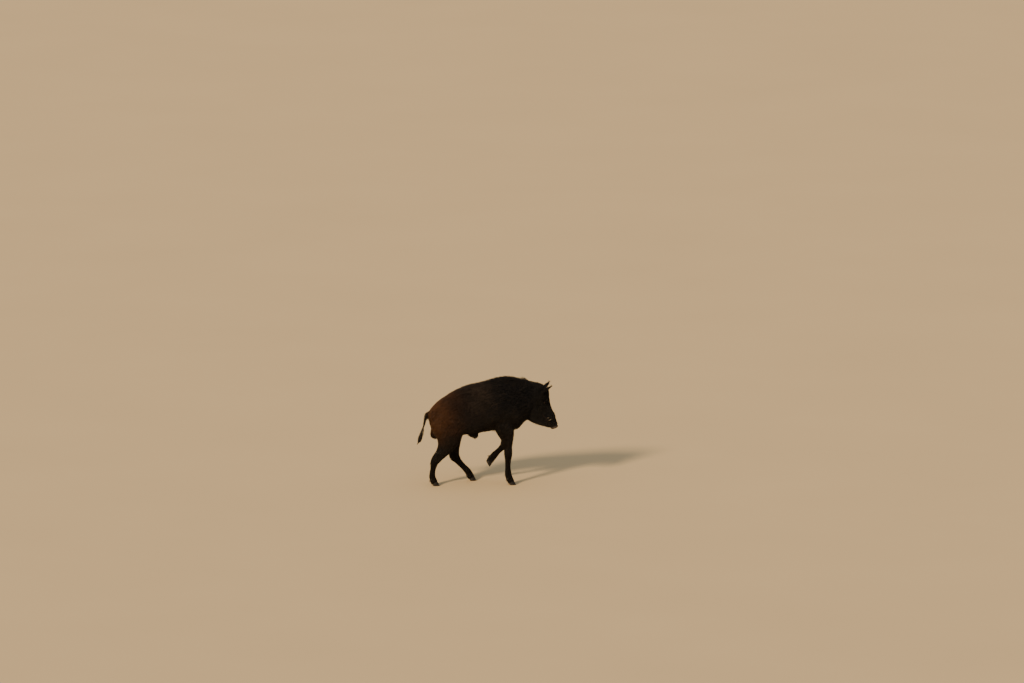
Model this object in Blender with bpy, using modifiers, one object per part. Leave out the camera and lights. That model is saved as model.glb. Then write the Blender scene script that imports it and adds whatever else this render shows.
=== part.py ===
"""Wild boar, adult male, walking: a life-size still model in named solids.

Metres, +X towards the snout, +Y to the animal's left, +Z up, standing on Z = 0.
The flesh is lofted through anatomical stations, fused into one closed form and
parted again with thin cuts. Its outline is that of the coat, hair included.
Horn, teeth, eyes, ears and tail are let into it, each with a thin gap round it.
"""

import math
from collections import namedtuple

import bmesh
import bpy
import numpy as np
from mathutils import Matrix, Vector
from mathutils.bvhtree import BVHTree

# ---------------------------------------------------------------- driving sizes
VOXEL = 0.008  # grid that fuses the flesh
SMOOTHING_ROUNDS = 5
BODY_TRIANGLES = 3900  # facets of the fused flesh, before it is parted
CUT = 0.0012  # width of the thin cuts between named parts
CLEARANCE = 0.0007  # gap round a piece that is let into the flesh
RING_SIDES = 28
STEPS = 3  # rings from one station to the next
RING_LEVEL = 0.7  # share of the half height where crown and keel are given

HEAD_PITCH = math.radians(68)  # the face line, below the horizontal
POLL = Vector((0.438, 0.0, 0.859))
ACROSS = Vector((0.0, 1.0, 0.0))
SIDES = {"right": -1, "left": 1}

MATERIALS = {
    # finish: (base colour, roughness)
    "coat": ((0.020, 0.014, 0.010), 0.75),
    "bare_skin": ((0.060, 0.045, 0.042), 0.45),
    "eye": ((0.020, 0.011, 0.007), 0.08),
    "ivory": ((0.62, 0.54, 0.40), 0.35),
    "horn": ((0.030, 0.025, 0.022), 0.50),
}

# ---------------------------------------------------------------- the trunk
# The mid-line over and under a station, and the half widths of its ring near
# the spine, at mid height and near the belly.
Station = namedtuple("Station", "top_x top_z low_x low_z crown waist keel")
TRUNK = [
    Station(-0.532, 0.604, -0.528, 0.560, 0.030, 0.038, 0.030),
    Station(-0.518, 0.638, -0.512, 0.495, 0.058, 0.080, 0.066),
    Station(-0.470, 0.696, -0.468, 0.442, 0.088, 0.126, 0.098),
    Station(-0.395, 0.754, -0.390, 0.422, 0.104, 0.156, 0.116),
    Station(-0.310, 0.799, -0.305, 0.420, 0.108, 0.166, 0.122),
    Station(-0.215, 0.839, -0.215, 0.428, 0.103, 0.168, 0.130),
    Station(-0.120, 0.871, -0.120, 0.440, 0.098, 0.184, 0.140),
    Station(-0.030, 0.894, -0.035, 0.452, 0.090, 0.188, 0.142),
    Station(0.060, 0.922, 0.050, 0.462, 0.078, 0.184, 0.136),
    Station(0.145, 0.935, 0.135, 0.460, 0.068, 0.180, 0.124),
    Station(0.225, 0.925, 0.230, 0.466, 0.062, 0.168, 0.108),
    Station(0.300, 0.906, 0.268, 0.500, 0.060, 0.150, 0.092),
    Station(0.375, 0.888, 0.307, 0.530, 0.058, 0.130, 0.080),
    Station(0.430, 0.852, 0.335, 0.575, 0.048, 0.098, 0.062),
]

# ---------------------------------------------------------------- the head
# Distance from the poll along the face line, height of the brow over that line,
# depth of the jaw under it, and half widths as for the trunk.
HeadStation = namedtuple("HeadStation", "along brow jaw crown waist keel")
HEAD = [
    HeadStation(-0.030, -0.030, 0.105, 0.028, 0.048, 0.042),
    HeadStation(0.010, 0.014, 0.185, 0.048, 0.088, 0.074),
    HeadStation(0.050, 0.034, 0.222, 0.058, 0.108, 0.088),
    HeadStation(0.092, 0.040, 0.238, 0.058, 0.112, 0.088),
    HeadStation(0.140, 0.024, 0.246, 0.052, 0.106, 0.084),
    HeadStation(0.190, 0.012, 0.246, 0.043, 0.092, 0.076),
    HeadStation(0.235, 0.008, 0.234, 0.036, 0.076, 0.064),
    HeadStation(0.265, 0.009, 0.212, 0.034, 0.066, 0.055),
    HeadStation(0.295, 0.014, 0.186, 0.034, 0.059, 0.046),
    HeadStation(0.325, 0.007, 0.154, 0.031, 0.051, 0.038),
    HeadStation(0.352, 0.003, 0.118, 0.031, 0.044, 0.032),
    HeadStation(0.378, 0.003, 0.086, 0.032, 0.040, 0.029),
    HeadStation(0.400, 0.002, 0.062, 0.031, 0.037, 0.027),
]
MUZZLE_END = 0.393  # along the face: where the bare disc begins
DISC_THICKNESS = 0.012
DISC_HALF_HEIGHT = 0.031
DISC_HALF_WIDTH = 0.037
DISC_RIMS = (0.97, 0.90)  # shares of the half sizes at its back and front
NOSTRIL_RADIUS = 0.0065
NOSTRIL_SPREAD = 0.014
NOSTRIL_RISE = 0.002
NOSTRIL_TALL = 1.35  # of its height to its width
MOUTH_CORNER = (0.250, 0.088)  # along the face, depth under its line
MOUTH_FRONT = (0.400, 0.062)

EYE_RADIUS = 0.0125
EYE_PLACE = (0.152, 0.036)  # along the face, depth under its line
EYE_PROUD = 0.004

EAR_BASE = Vector((0.454, 0.062, 0.772))
EAR_TIP = Vector((0.524, 0.110, 0.853))
EAR_FACING = Vector((0.90, 0.45, 0.0))
EAR_HALF_WIDTH = 0.030
EAR_THICKNESS = 0.011
EAR_RINGS = (0.0, 0.16, 0.34, 0.52, 0.70, 0.87, 1.0)  # shares of its length
EAR_POINTS = 6  # along one side of a ring
EAR_LEAST = 0.10  # width at the tip, as a share of the greatest
EAR_SWELL = (0.22, 0.80)  # where in a half wave the base is, and its power
EAR_CUP = 0.75  # depth of the hollow, as a share of the half width
EAR_TAPER = 0.55  # share of the hollow and thickness lost by the tip
EAR_EDGE = 0.25  # thickness at the rim, as a share of the middle's

# A tusk: its root along the face and under its line, the length that shows, its
# radius, how far it spreads and how far it curls back towards the eye.
Tusk = namedtuple("Tusk", "along depth length radius spread curl")
TUSKS = {
    "tusk_lower": Tusk(0.316, 0.068, 0.034, 0.0056, 0.018, 0.008),
    "tusk_upper": Tusk(0.288, 0.064, 0.017, 0.0058, 0.014, -0.003),
}
TUSK_ROOT = 0.012  # how far in from the lip it starts
TUSK_RINGS = (0.0, 0.35, 0.6, 0.82, 1.0)  # shares of its length
TUSK_SIDES = 7
TUSK_BEND = 1.5  # power of the turn upwards
TUSK_TAPER = 0.85  # share of the radius lost by the tip

# ---------------------------------------------------------------- the limbs
# A station is the limb's centre and the reach of the flesh to its front, back
# and side. The foot follows: the toe's place and its pitch about the toe.
LimbStation = namedtuple("LimbStation", "x z front back side")
Limb = namedtuple("Limb", "top_y foot_y toe_x toe_z pitch joint stations")
LIMBS = {
    "foreleg_right": Limb(
        -0.085, -0.116, 0.214, 0.0, 0.0, (0.148, 0.262),
        [
            LimbStation(0.070, 0.620, 0.095, 0.085, 0.056),
            LimbStation(0.098, 0.530, 0.098, 0.082, 0.064),
            LimbStation(0.126, 0.450, 0.078, 0.064, 0.056),
            LimbStation(0.142, 0.395, 0.050, 0.048, 0.045),
            LimbStation(0.148, 0.330, 0.034, 0.036, 0.036),
            LimbStation(0.149, 0.275, 0.033, 0.034, 0.034),
            LimbStation(0.147, 0.215, 0.025, 0.027, 0.027),
            LimbStation(0.146, 0.150, 0.022, 0.025, 0.025),
            LimbStation(0.148, 0.098, 0.026, 0.030, 0.030),
            LimbStation(0.156, 0.064, 0.027, 0.030, 0.032),
            LimbStation(0.174, 0.020, 0.028, 0.028, 0.032),
        ],
    ),
    "foreleg_left": Limb(
        0.085, 0.110, 0.002, 0.118, -60.0, (0.134, 0.326),
        [
            LimbStation(0.055, 0.640, 0.090, 0.088, 0.056),
            LimbStation(0.074, 0.555, 0.090, 0.078, 0.064),
            LimbStation(0.102, 0.470, 0.072, 0.056, 0.056),
            LimbStation(0.128, 0.402, 0.048, 0.042, 0.045),
            LimbStation(0.143, 0.350, 0.036, 0.036, 0.036),
            LimbStation(0.132, 0.313, 0.035, 0.033, 0.034),
            LimbStation(0.108, 0.284, 0.026, 0.026, 0.027),
            LimbStation(0.079, 0.254, 0.022, 0.025, 0.025),
            LimbStation(0.053, 0.227, 0.026, 0.029, 0.030),
            LimbStation(0.031, 0.201, 0.027, 0.030, 0.032),
            LimbStation(-0.001, 0.163, 0.028, 0.028, 0.032),
        ],
    ),
    "hindleg_right": Limb(
        -0.095, -0.110, -0.446, 0.0, 0.0, (-0.480, 0.212),
        [
            LimbStation(-0.360, 0.620, 0.100, 0.080, 0.050),
            LimbStation(-0.366, 0.520, 0.135, 0.146, 0.072),
            LimbStation(-0.370, 0.430, 0.116, 0.118, 0.070),
            LimbStation(-0.398, 0.350, 0.084, 0.062, 0.056),
            LimbStation(-0.438, 0.282, 0.056, 0.040, 0.042),
            LimbStation(-0.478, 0.226, 0.038, 0.038, 0.034),
            LimbStation(-0.493, 0.186, 0.030, 0.030, 0.029),
            LimbStation(-0.502, 0.140, 0.023, 0.024, 0.025),
            LimbStation(-0.507, 0.098, 0.024, 0.027, 0.028),
            LimbStation(-0.503, 0.064, 0.026, 0.029, 0.031),
            LimbStation(-0.486, 0.020, 0.028, 0.028, 0.031),
        ],
    ),
    "hindleg_left": Limb(
        0.095, 0.110, -0.112, 0.0, 0.0, (-0.296, 0.205),
        [
            LimbStation(-0.340, 0.620, 0.100, 0.085, 0.050),
            LimbStation(-0.328, 0.520, 0.118, 0.135, 0.072),
            LimbStation(-0.310, 0.430, 0.082, 0.118, 0.070),
            LimbStation(-0.304, 0.345, 0.056, 0.080, 0.056),
            LimbStation(-0.306, 0.275, 0.045, 0.052, 0.043),
            LimbStation(-0.300, 0.220, 0.040, 0.044, 0.035),
            LimbStation(-0.276, 0.180, 0.031, 0.030, 0.030),
            LimbStation(-0.244, 0.144, 0.026, 0.025, 0.026),
            LimbStation(-0.212, 0.112, 0.025, 0.026, 0.027),
            LimbStation(-0.184, 0.080, 0.027, 0.029, 0.030),
            LimbStation(-0.153, 0.020, 0.028, 0.028, 0.031),
        ],
    ),
}

# A foot in its own frame: the toe at the origin, +X forward, +Z up from the sole.
CLAW_LENGTH = 0.056
CLAW_HALF_WIDTH = 0.0145
CLAW_SPREAD = 0.0163  # of each claw's middle from the foot's middle
CLAW_SIDES = 12
CLAW_RINGS = (0.0, 0.15, 1.0)  # shares of the height, sole to coronet
CLAW_TOE_TAPER = 0.30  # share of the width lost at the toe, on the sole
CLAW_TOP_TAPER = 0.12  # and at the coronet
SOLE_SHARE = (0.94, 0.90)  # of the claw's length and width that the flat sole has
CORONET_FRONT = (-0.020, 0.044)
CORONET_BACK = (-0.062, 0.021)
DEWCLAW_ROOT = (-0.066, 0.064)
DEWCLAW_TIP = (-0.087, 0.034)
DEWCLAW_SPREAD = 0.021
DEWCLAW_RADII = (0.0095, 0.0045)
DEWCLAW_ROOT_SHARE = 0.8  # of the spread, where it leaves the pastern
DEWCLAW_SIDES = 7

# ---------------------------------------------------------------- tail, groin
# The tail's shaft and its tuft: centre and radius of each ring.
TailStation = namedtuple("TailStation", "x z radius")
TAIL = [
    TailStation(-0.500, 0.604, 0.020),
    TailStation(-0.524, 0.612, 0.020),
    TailStation(-0.543, 0.604, 0.017),
    TailStation(-0.555, 0.582, 0.013),
    TailStation(-0.562, 0.552, 0.011),
    TailStation(-0.568, 0.525, 0.010),
    TailStation(-0.572, 0.505, 0.010),
]
TAIL_TUFT = [
    TailStation(-0.5725, 0.5035, 0.010),
    TailStation(-0.580, 0.480, 0.016),
    TailStation(-0.592, 0.440, 0.021),
    TailStation(-0.606, 0.396, 0.021),
    TailStation(-0.618, 0.362, 0.012),
    TailStation(-0.624, 0.345, 0.003),
]
TAIL_SIDES = 8
TAIL_STEPS = 2
# Rounded masses of the groin: centre, half sizes and pitch in degrees.
Mass = namedtuple("Mass", "x z half_x half_y half_z pitch")
SCROTUM = Mass(-0.470, 0.452, 0.040, 0.040, 0.062, 18)
SHEATH = Mass(-0.145, 0.430, 0.058, 0.026, 0.036, 20)

# ---------------------------------------------------------------- parting lines
# The arch where a leg parts from the body: its middle and its half sizes.
HAUNCHES = {
    "foreleg": ((0.105, 0.500), (0.150, 0.110)),
    "hindleg": ((-0.375, 0.500), (0.165, 0.120)),
}
LEG_INNER_Y = 0.052
LEG_MIDDLE_Y = 0.14
ARCH_STEPS = 12
# Half sizes of the boxes that take out a region, larger than the flesh in it.
LEG_SPACE = Vector((0.20, 0.11, 0.40))
BODY_SPACE = Vector((0.70, 0.40, 0.80))
HEAD_SPACE = Vector((0.30, 0.10, 0.30))
FOOT_SPACE = Vector((0.085, 0.06, 0.05))
# Mid-line points, over and under, of the planes across the neck.
HEAD_CUT = ((0.392, 0.905), (0.318, 0.535))
NECK_CUT = ((0.262, 0.935), (0.238, 0.440))


# ---------------------------------------------------------------- scene helpers
def clear_scene():
    for item in list(bpy.data.objects):
        bpy.data.objects.remove(item, do_unlink=True)


def new_collection(name, hidden=False):
    collection = bpy.data.collections.new(name)
    bpy.context.scene.collection.children.link(collection)
    collection.hide_render = hidden
    return collection


def new_material(name, colour, roughness):
    material = bpy.data.materials.new(name)
    material.use_nodes = True
    shader = material.node_tree.nodes["Principled BSDF"]
    shader.inputs["Base Color"].default_value = (*colour, 1.0)
    shader.inputs["Roughness"].default_value = roughness
    material.diffuse_color = (*colour, 1.0)
    return material


def new_object(name, mesh, collection, material=None):
    """An object from a mesh or a bmesh, in a collection."""
    if isinstance(mesh, bmesh.types.BMesh):
        built = bpy.data.meshes.new(name)
        bmesh.ops.recalc_face_normals(mesh, faces=mesh.faces)
        mesh.to_mesh(built)
        mesh.free()
        mesh = built
    item = bpy.data.objects.new(name, mesh)
    collection.objects.link(item)
    if material:
        mesh.materials.clear()
        mesh.materials.append(material)
    return item


def as_cutter(item):
    item.hide_render = True
    item.display_type = "WIRE"
    return item


def add_boolean(item, operation, cutter):
    modifier = item.modifiers.new(f"{operation.lower()}_{cutter.name}"[:60], "BOOLEAN")
    modifier.operation = operation
    modifier.solver = "EXACT"
    modifier.object = cutter


def evaluated_mesh(item):
    graph = bpy.context.evaluated_depsgraph_get()
    return bpy.data.meshes.new_from_object(item.evaluated_get(graph), depsgraph=graph)


def joined(parts):
    """One bmesh that holds every given bmesh; the parts are freed."""
    whole = bmesh.new()
    for part in parts:
        held = bpy.data.meshes.new("held")
        part.to_mesh(held)
        part.free()
        whole.from_mesh(held)
        bpy.data.meshes.remove(held)
    return whole


# ---------------------------------------------------------------- shape helpers
def smoothed(stations, steps=STEPS):
    """The stations and those between them, on a Catmull-Rom curve."""
    rows = np.array(stations, float)
    ends = np.vstack([2 * rows[0] - rows[1], rows, 2 * rows[-1] - rows[-2]])
    found = []
    for first in range(len(rows) - 1):
        a, b, c, d = ends[first : first + 4]
        for t in np.arange(steps) / steps:
            bend = (2 * a - 5 * b + 4 * c - d) * t**2 + (3 * b - a - 3 * c + d) * t**3
            found.append((2 * b + (c - a) * t + bend) / 2)
    return np.array(found + [rows[-1]])


def loft(rings):
    """A closed bmesh through rings of points, with flat ends."""
    mesh = bmesh.new()
    loops = [[mesh.verts.new(point) for point in ring] for ring in rings]
    for near, far in zip(loops, loops[1:]):
        for at in range(len(near)):
            after = (at + 1) % len(near)
            mesh.faces.new((near[at], near[after], far[after], far[at]))
    mesh.faces.new(loops[0])
    mesh.faces.new(loops[-1])
    bmesh.ops.recalc_face_normals(mesh, faces=mesh.faces)
    return mesh


def turns(sides):
    return [2 * math.pi * step / sides for step in range(sides)]


def body_ring(top, low, crown, waist, keel):
    """A ring round the body from its upper to its lower mid-line point."""
    reach = math.sqrt(1 - RING_LEVEL**2)
    slope = (crown - keel) / (2 * RING_LEVEL * reach)
    swell = ((crown + keel) / (2 * reach) - waist) / RING_LEVEL**2
    middle = (top + low) / 2
    ring = []
    for turn in turns(RING_SIDES):
        height = math.cos(turn)
        width = math.sin(turn) * (waist + slope * height + swell * height**2)
        ring.append(middle + (top - low) / 2 * height + ACROSS * width)
    return ring


def tube(centres, reaches, sides):
    """A loft along centres; a reach is (front, back, side) of each ring."""
    rings = []
    for at, centre in enumerate(centres):
        before = centres[max(at - 1, 0)]
        after = centres[min(at + 1, len(centres) - 1)]
        along = (after - before).normalized()
        ahead = ACROSS.cross(along)
        across = along.cross(ahead)
        front, back, side = reaches[at]
        ring = []
        for turn in turns(sides):
            depth = front if math.cos(turn) < 0 else back
            ring.append(centre + ahead * math.cos(turn) * depth + across * math.sin(turn) * side)
        rings.append(ring)
    return loft(rings)


def ellipsoid(mass):
    mesh = bmesh.new()
    placed = Matrix.Translation((mass.x, 0.0, mass.z))
    placed = placed @ Matrix.Rotation(math.radians(mass.pitch), 4, "Y")
    placed = placed @ Matrix.Diagonal((mass.half_x, mass.half_y, mass.half_z, 1.0))
    bmesh.ops.create_uvsphere(mesh, u_segments=20, v_segments=12, radius=1, matrix=placed)
    return mesh


def box(low, high, matrix=None):
    """A box between two corners, in the frame of the matrix."""
    mesh = bmesh.new()
    low, high = Vector(low), Vector(high)
    bmesh.ops.create_cube(mesh, size=1)
    for vert in mesh.verts:
        vert.co = (low + high) / 2 + Vector(a * b for a, b in zip(vert.co, high - low))
    bmesh.ops.transform(mesh, matrix=matrix or Matrix(), verts=mesh.verts)
    return mesh


def box_below(half, matrix):
    """A box whose top face has its middle at the matrix's origin."""
    return box(-half, (half.x, half.y, 0), matrix)


def grown(mesh, by):
    """A copy with every face moved out by about the given distance."""
    copy = mesh.copy()
    bmesh.ops.recalc_face_normals(copy, faces=copy.faces)
    copy.normal_update()
    moved = [vert.co + vert.normal * by * vert.calc_shell_factor() for vert in copy.verts]
    for vert, place in zip(copy.verts, moved):
        vert.co = place
    return copy


# ---------------------------------------------------------------- the head frame
FACE = Vector((math.cos(HEAD_PITCH), 0.0, -math.sin(HEAD_PITCH)))
BROW = Vector((math.sin(HEAD_PITCH), 0.0, math.cos(HEAD_PITCH)))


def on_head(along, depth, y=0.0):
    """A point of the head from its distance along the face and under its line."""
    return POLL + FACE * along - BROW * depth + ACROSS * y


def head_matrix(along, depth):
    """X runs along the face line, Y across and Z out of the brow."""
    turn = Matrix((FACE, ACROSS, BROW)).transposed().to_4x4()
    return Matrix.Translation(on_head(along, depth)) @ turn


def surface_across(flesh, place, side):
    """Where a ray from the head's mid-plane meets the flesh."""
    return flesh.ray_cast(place, ACROSS * side)[0]


# ---------------------------------------------------------------- flesh
def trunk_form():
    rings = []
    for row in smoothed(TRUNK):
        station = Station(*row)
        top = Vector((station.top_x, 0, station.top_z))
        low = Vector((station.low_x, 0, station.low_z))
        rings.append(body_ring(top, low, station.crown, station.waist, station.keel))
    return loft(rings)


def head_form():
    rings = []
    for row in smoothed(HEAD):
        station = HeadStation(*row)
        top = on_head(station.along, -station.brow)
        low = on_head(station.along, station.jaw)
        rings.append(body_ring(top, low, station.crown, station.waist, station.keel))
    return loft(rings)


def limb_form(limb):
    rows = smoothed(limb.stations)
    top, low = rows[0][1], rows[-1][1]
    centres = []
    for x, z, *_ in rows:
        share = (top - z) / (top - low)
        centres.append(Vector((x, limb.top_y + (limb.foot_y - limb.top_y) * share, z)))
    return tube(centres, [row[2:] for row in rows], RING_SIDES)


def fused_flesh(forms, collection):
    """One closed mesh of all the forms, evened out and then thinned."""
    held = new_object("fused_flesh", joined(forms), collection)
    as_cutter(held)
    remesh = held.modifiers.new("fuse", "REMESH")
    remesh.mode = "VOXEL"
    remesh.voxel_size = VOXEL
    even = held.modifiers.new("even_out", "SMOOTH")
    even.iterations = SMOOTHING_ROUNDS
    full = evaluated_mesh(held)
    full.calc_loop_triangles()
    thin = held.modifiers.new("thin_out", "DECIMATE")
    thin.ratio = BODY_TRIANGLES / len(full.loop_triangles)
    mesh = evaluated_mesh(held)
    bpy.data.objects.remove(held, do_unlink=True)
    bpy.data.meshes.remove(full)
    return mesh


# ---------------------------------------------------------------- let-in pieces
def eye_form(flesh, side):
    hit = surface_across(flesh, on_head(*EYE_PLACE), side)
    mesh = bmesh.new()
    centre = hit - ACROSS * side * (EYE_RADIUS - EYE_PROUD)
    placed = Matrix.Translation(centre) @ Matrix.Rotation(math.pi / 2, 4, "X")
    bmesh.ops.create_uvsphere(
        mesh, u_segments=10, v_segments=7, radius=EYE_RADIUS, matrix=placed
    )
    return mesh


def ear_form(side):
    """A cupped leaf: rings whose outer arc bulges back and inner arc is hollow."""
    flip = Matrix.Diagonal((1.0, side, 1.0))
    base, tip = flip @ EAR_BASE, flip @ EAR_TIP
    axis = (tip - base).normalized()
    facing = flip @ EAR_FACING
    facing = (facing - axis * facing.dot(axis)).normalized()
    across = axis.cross(facing)
    start, power = EAR_SWELL
    rings = []
    for share in EAR_RINGS:
        wave = max(math.sin(math.pi * (start + (1 - start) * share)), 0) ** power
        half = EAR_HALF_WIDTH * (EAR_LEAST + (1 - EAR_LEAST) * wave)
        cup = EAR_CUP * half * (1 - EAR_TAPER * share)
        thick = EAR_THICKNESS * (1 - EAR_TAPER * share)
        middle = base + (tip - base) * share
        outer, inner = [], []
        for step in range(EAR_POINTS):
            place = -1 + 2 * step / (EAR_POINTS - 1)
            back = -cup * (1 - place**2)
            edge = thick * (EAR_EDGE + (1 - EAR_EDGE) * (1 - place**2))
            spot = middle + across * half * place
            outer.append(spot + facing * (back - edge))
            inner.append(spot + facing * back)
        rings.append(outer + inner[::-1])
    return loft(rings)


def tusk_form(flesh, tusk, side):
    """A curved spike that leaves the lip sideways and turns up along the face."""
    hit = surface_across(flesh, on_head(tusk.along, tusk.depth), side)
    start = hit - ACROSS * side * TUSK_ROOT
    centres, radii = [], []
    for share in TUSK_RINGS:
        out = ACROSS * side * (TUSK_ROOT + tusk.spread) * math.sin(share * math.pi / 2)
        up = BROW * tusk.length * share**TUSK_BEND
        back = FACE * -tusk.curl * share**2
        centres.append(start + out + up + back)
        radii.append(tusk.radius * (1 - TUSK_TAPER * share**2))
    rings = []
    for at, centre in enumerate(centres):
        before = centres[max(at - 1, 0)]
        after = centres[min(at + 1, len(centres) - 1)]
        along = (after - before).normalized()
        first = along.cross(FACE).normalized()
        second = along.cross(first)
        ring = []
        for turn in turns(TUSK_SIDES):
            ring.append(centre + (first * math.cos(turn) + second * math.sin(turn)) * radii[at])
        rings.append(ring)
    return loft(rings)


def tail_form(stations):
    rows = smoothed(stations, TAIL_STEPS)
    centres = [Vector((x, 0.0, z)) for x, z, _ in rows]
    return tube(centres, [(radius, radius, radius) for *_, radius in rows], TAIL_SIDES)


# ---------------------------------------------------------------- feet
def foot_matrix(limb):
    """The foot's own frame: origin at the toe, on the sole, in the foot's middle."""
    placed = Matrix.Translation((limb.toe_x, limb.foot_y, limb.toe_z))
    return placed @ Matrix.Rotation(math.radians(-limb.pitch), 4, "Y")


def coronet_height(x):
    """Height of the plane where horn meets flesh, over a place along the sole."""
    front, back = Vector(CORONET_FRONT), Vector(CORONET_BACK)
    return front.y + (x - front.x) * (front.y - back.y) / (front.x - back.x)


def claw_form(limb, hand):
    """One main claw: a flat sole, a bulging wall and a sloping coronet."""
    front, back = CORONET_FRONT[0], CORONET_BACK[0]
    rings = []
    for share in CLAW_RINGS:
        length_share, width_share = SOLE_SHARE if share == 0 else (1.0, 1.0)
        lost = CLAW_TOE_TAPER + (CLAW_TOP_TAPER - CLAW_TOE_TAPER) * share
        ring = []
        for turn in turns(CLAW_SIDES):
            ahead = math.cos(turn)
            sole_x = CLAW_LENGTH / 2 * (length_share * ahead - 1)
            top_x = (front + back) / 2 + (front - back) / 2 * ahead
            x = sole_x + (top_x - sole_x) * share
            y = CLAW_HALF_WIDTH * math.sin(turn) * width_share * (1 - lost * ahead)
            z = (coronet_height(top_x) - CUT / 2) * share
            ring.append(Vector((x, y + hand * CLAW_SPREAD, z)))
        rings.append(ring)
    mesh = loft(rings)
    bmesh.ops.transform(mesh, matrix=foot_matrix(limb), verts=mesh.verts)
    return mesh


def dewclaw_form(limb, hand):
    """A short blunt cone behind the pastern."""
    root_y = hand * DEWCLAW_SPREAD * DEWCLAW_ROOT_SHARE
    root = Vector((DEWCLAW_ROOT[0], root_y, DEWCLAW_ROOT[1]))
    tip = Vector((DEWCLAW_TIP[0], hand * DEWCLAW_SPREAD, DEWCLAW_TIP[1]))
    turn = Vector((0, 0, 1)).rotation_difference(tip - root).to_matrix().to_4x4()
    mesh = bmesh.new()
    bmesh.ops.create_cone(
        mesh,
        cap_ends=True,
        segments=DEWCLAW_SIDES,
        radius1=DEWCLAW_RADII[0],
        radius2=DEWCLAW_RADII[1],
        depth=(tip - root).length,
        matrix=foot_matrix(limb) @ Matrix.Translation((root + tip) / 2) @ turn,
    )
    return mesh


def under_coronet(limb):
    """The space below the coronet plane, where the horn is."""
    slope = math.atan2(
        CORONET_FRONT[1] - CORONET_BACK[1], CORONET_FRONT[0] - CORONET_BACK[0]
    )
    plane = Matrix.Translation((CORONET_FRONT[0], 0, CORONET_FRONT[1]))
    plane = plane @ Matrix.Rotation(-slope, 4, "Y")
    return box_below(FOOT_SPACE, foot_matrix(limb) @ plane)


# ---------------------------------------------------------------- parting lines
def haunch_region(limb, middle, radii):
    """A leg's share of the flesh: an arch over the joint with the body, and down."""
    side = math.copysign(1, limb.foot_y)
    foot = limb.joint[1]
    arch = []
    for step in range(ARCH_STEPS + 1):
        turn = math.pi * step / ARCH_STEPS
        x = middle[0] + radii[0] * math.cos(turn)
        arch.append((x, middle[1] + radii[1] * math.sin(turn)))
    outline = arch + [(middle[0] - radii[0], foot), (middle[0] + radii[0], foot)]
    rings = []
    for y in (LEG_INNER_Y, BODY_SPACE.y):
        rings.append([Vector((x, side * y, z)) for x, z in outline])
    return loft(rings)


def below_joint(limb):
    side = math.copysign(1, limb.foot_y)
    x, z = limb.joint
    return box_below(LEG_SPACE, Matrix.Translation((x, side * LEG_MIDDLE_Y, z)))


def ahead_of(top, low):
    """Everything ahead of a plane across the body through two mid-line points."""
    top, low = Vector((top[0], 0, top[1])), Vector((low[0], 0, low[1]))
    upward = (top - low).normalized()
    turn = Matrix((ACROSS.cross(upward), ACROSS, upward)).transposed().to_4x4()
    corner = Vector((0, BODY_SPACE.y, BODY_SPACE.z))
    return box(-corner, BODY_SPACE, Matrix.Translation(low) @ turn)


def jaw_region():
    """Below the line of the mouth, from its corner to the chin."""
    corner, front = Vector(MOUTH_CORNER), Vector(MOUTH_FRONT)
    slope = math.atan2(corner.y - front.y, front.x - corner.x)
    placed = head_matrix(*MOUTH_CORNER) @ Matrix.Rotation(-slope, 4, "Y")
    far = HEAD_SPACE
    return box((0, -far.y, -far.z), (far.x, far.y, 0), placed)


def part_flesh(flesh, parts, cutters, material):
    """Takes each named region out of the flesh in turn; the trunk is what is left."""
    regions = []
    for name, limb in LIMBS.items():
        regions.append((f"{name}_lower", below_joint(limb)))
        haunch = HAUNCHES[name.split("_")[0]]
        regions.append((f"{name}_upper", haunch_region(limb, *haunch)))
    regions.append(("lower_jaw", jaw_region()))
    regions.append(("head", ahead_of(*HEAD_CUT)))
    regions.append(("neck", ahead_of(*NECK_CUT)))
    for name, region in regions:
        clear = as_cutter(new_object(f"{name}_clear", grown(region, CUT), cutters))
        space = as_cutter(new_object(f"{name}_space", region, cutters))
        piece = new_object(name, flesh.copy(), parts, material)
        add_boolean(piece, "INTERSECT", space)
        rest = new_object("rest", flesh, cutters)
        add_boolean(rest, "DIFFERENCE", clear)
        flesh = evaluated_mesh(rest)
        bpy.data.objects.remove(rest, do_unlink=True)
    new_object("trunk", flesh, parts, material)


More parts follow.
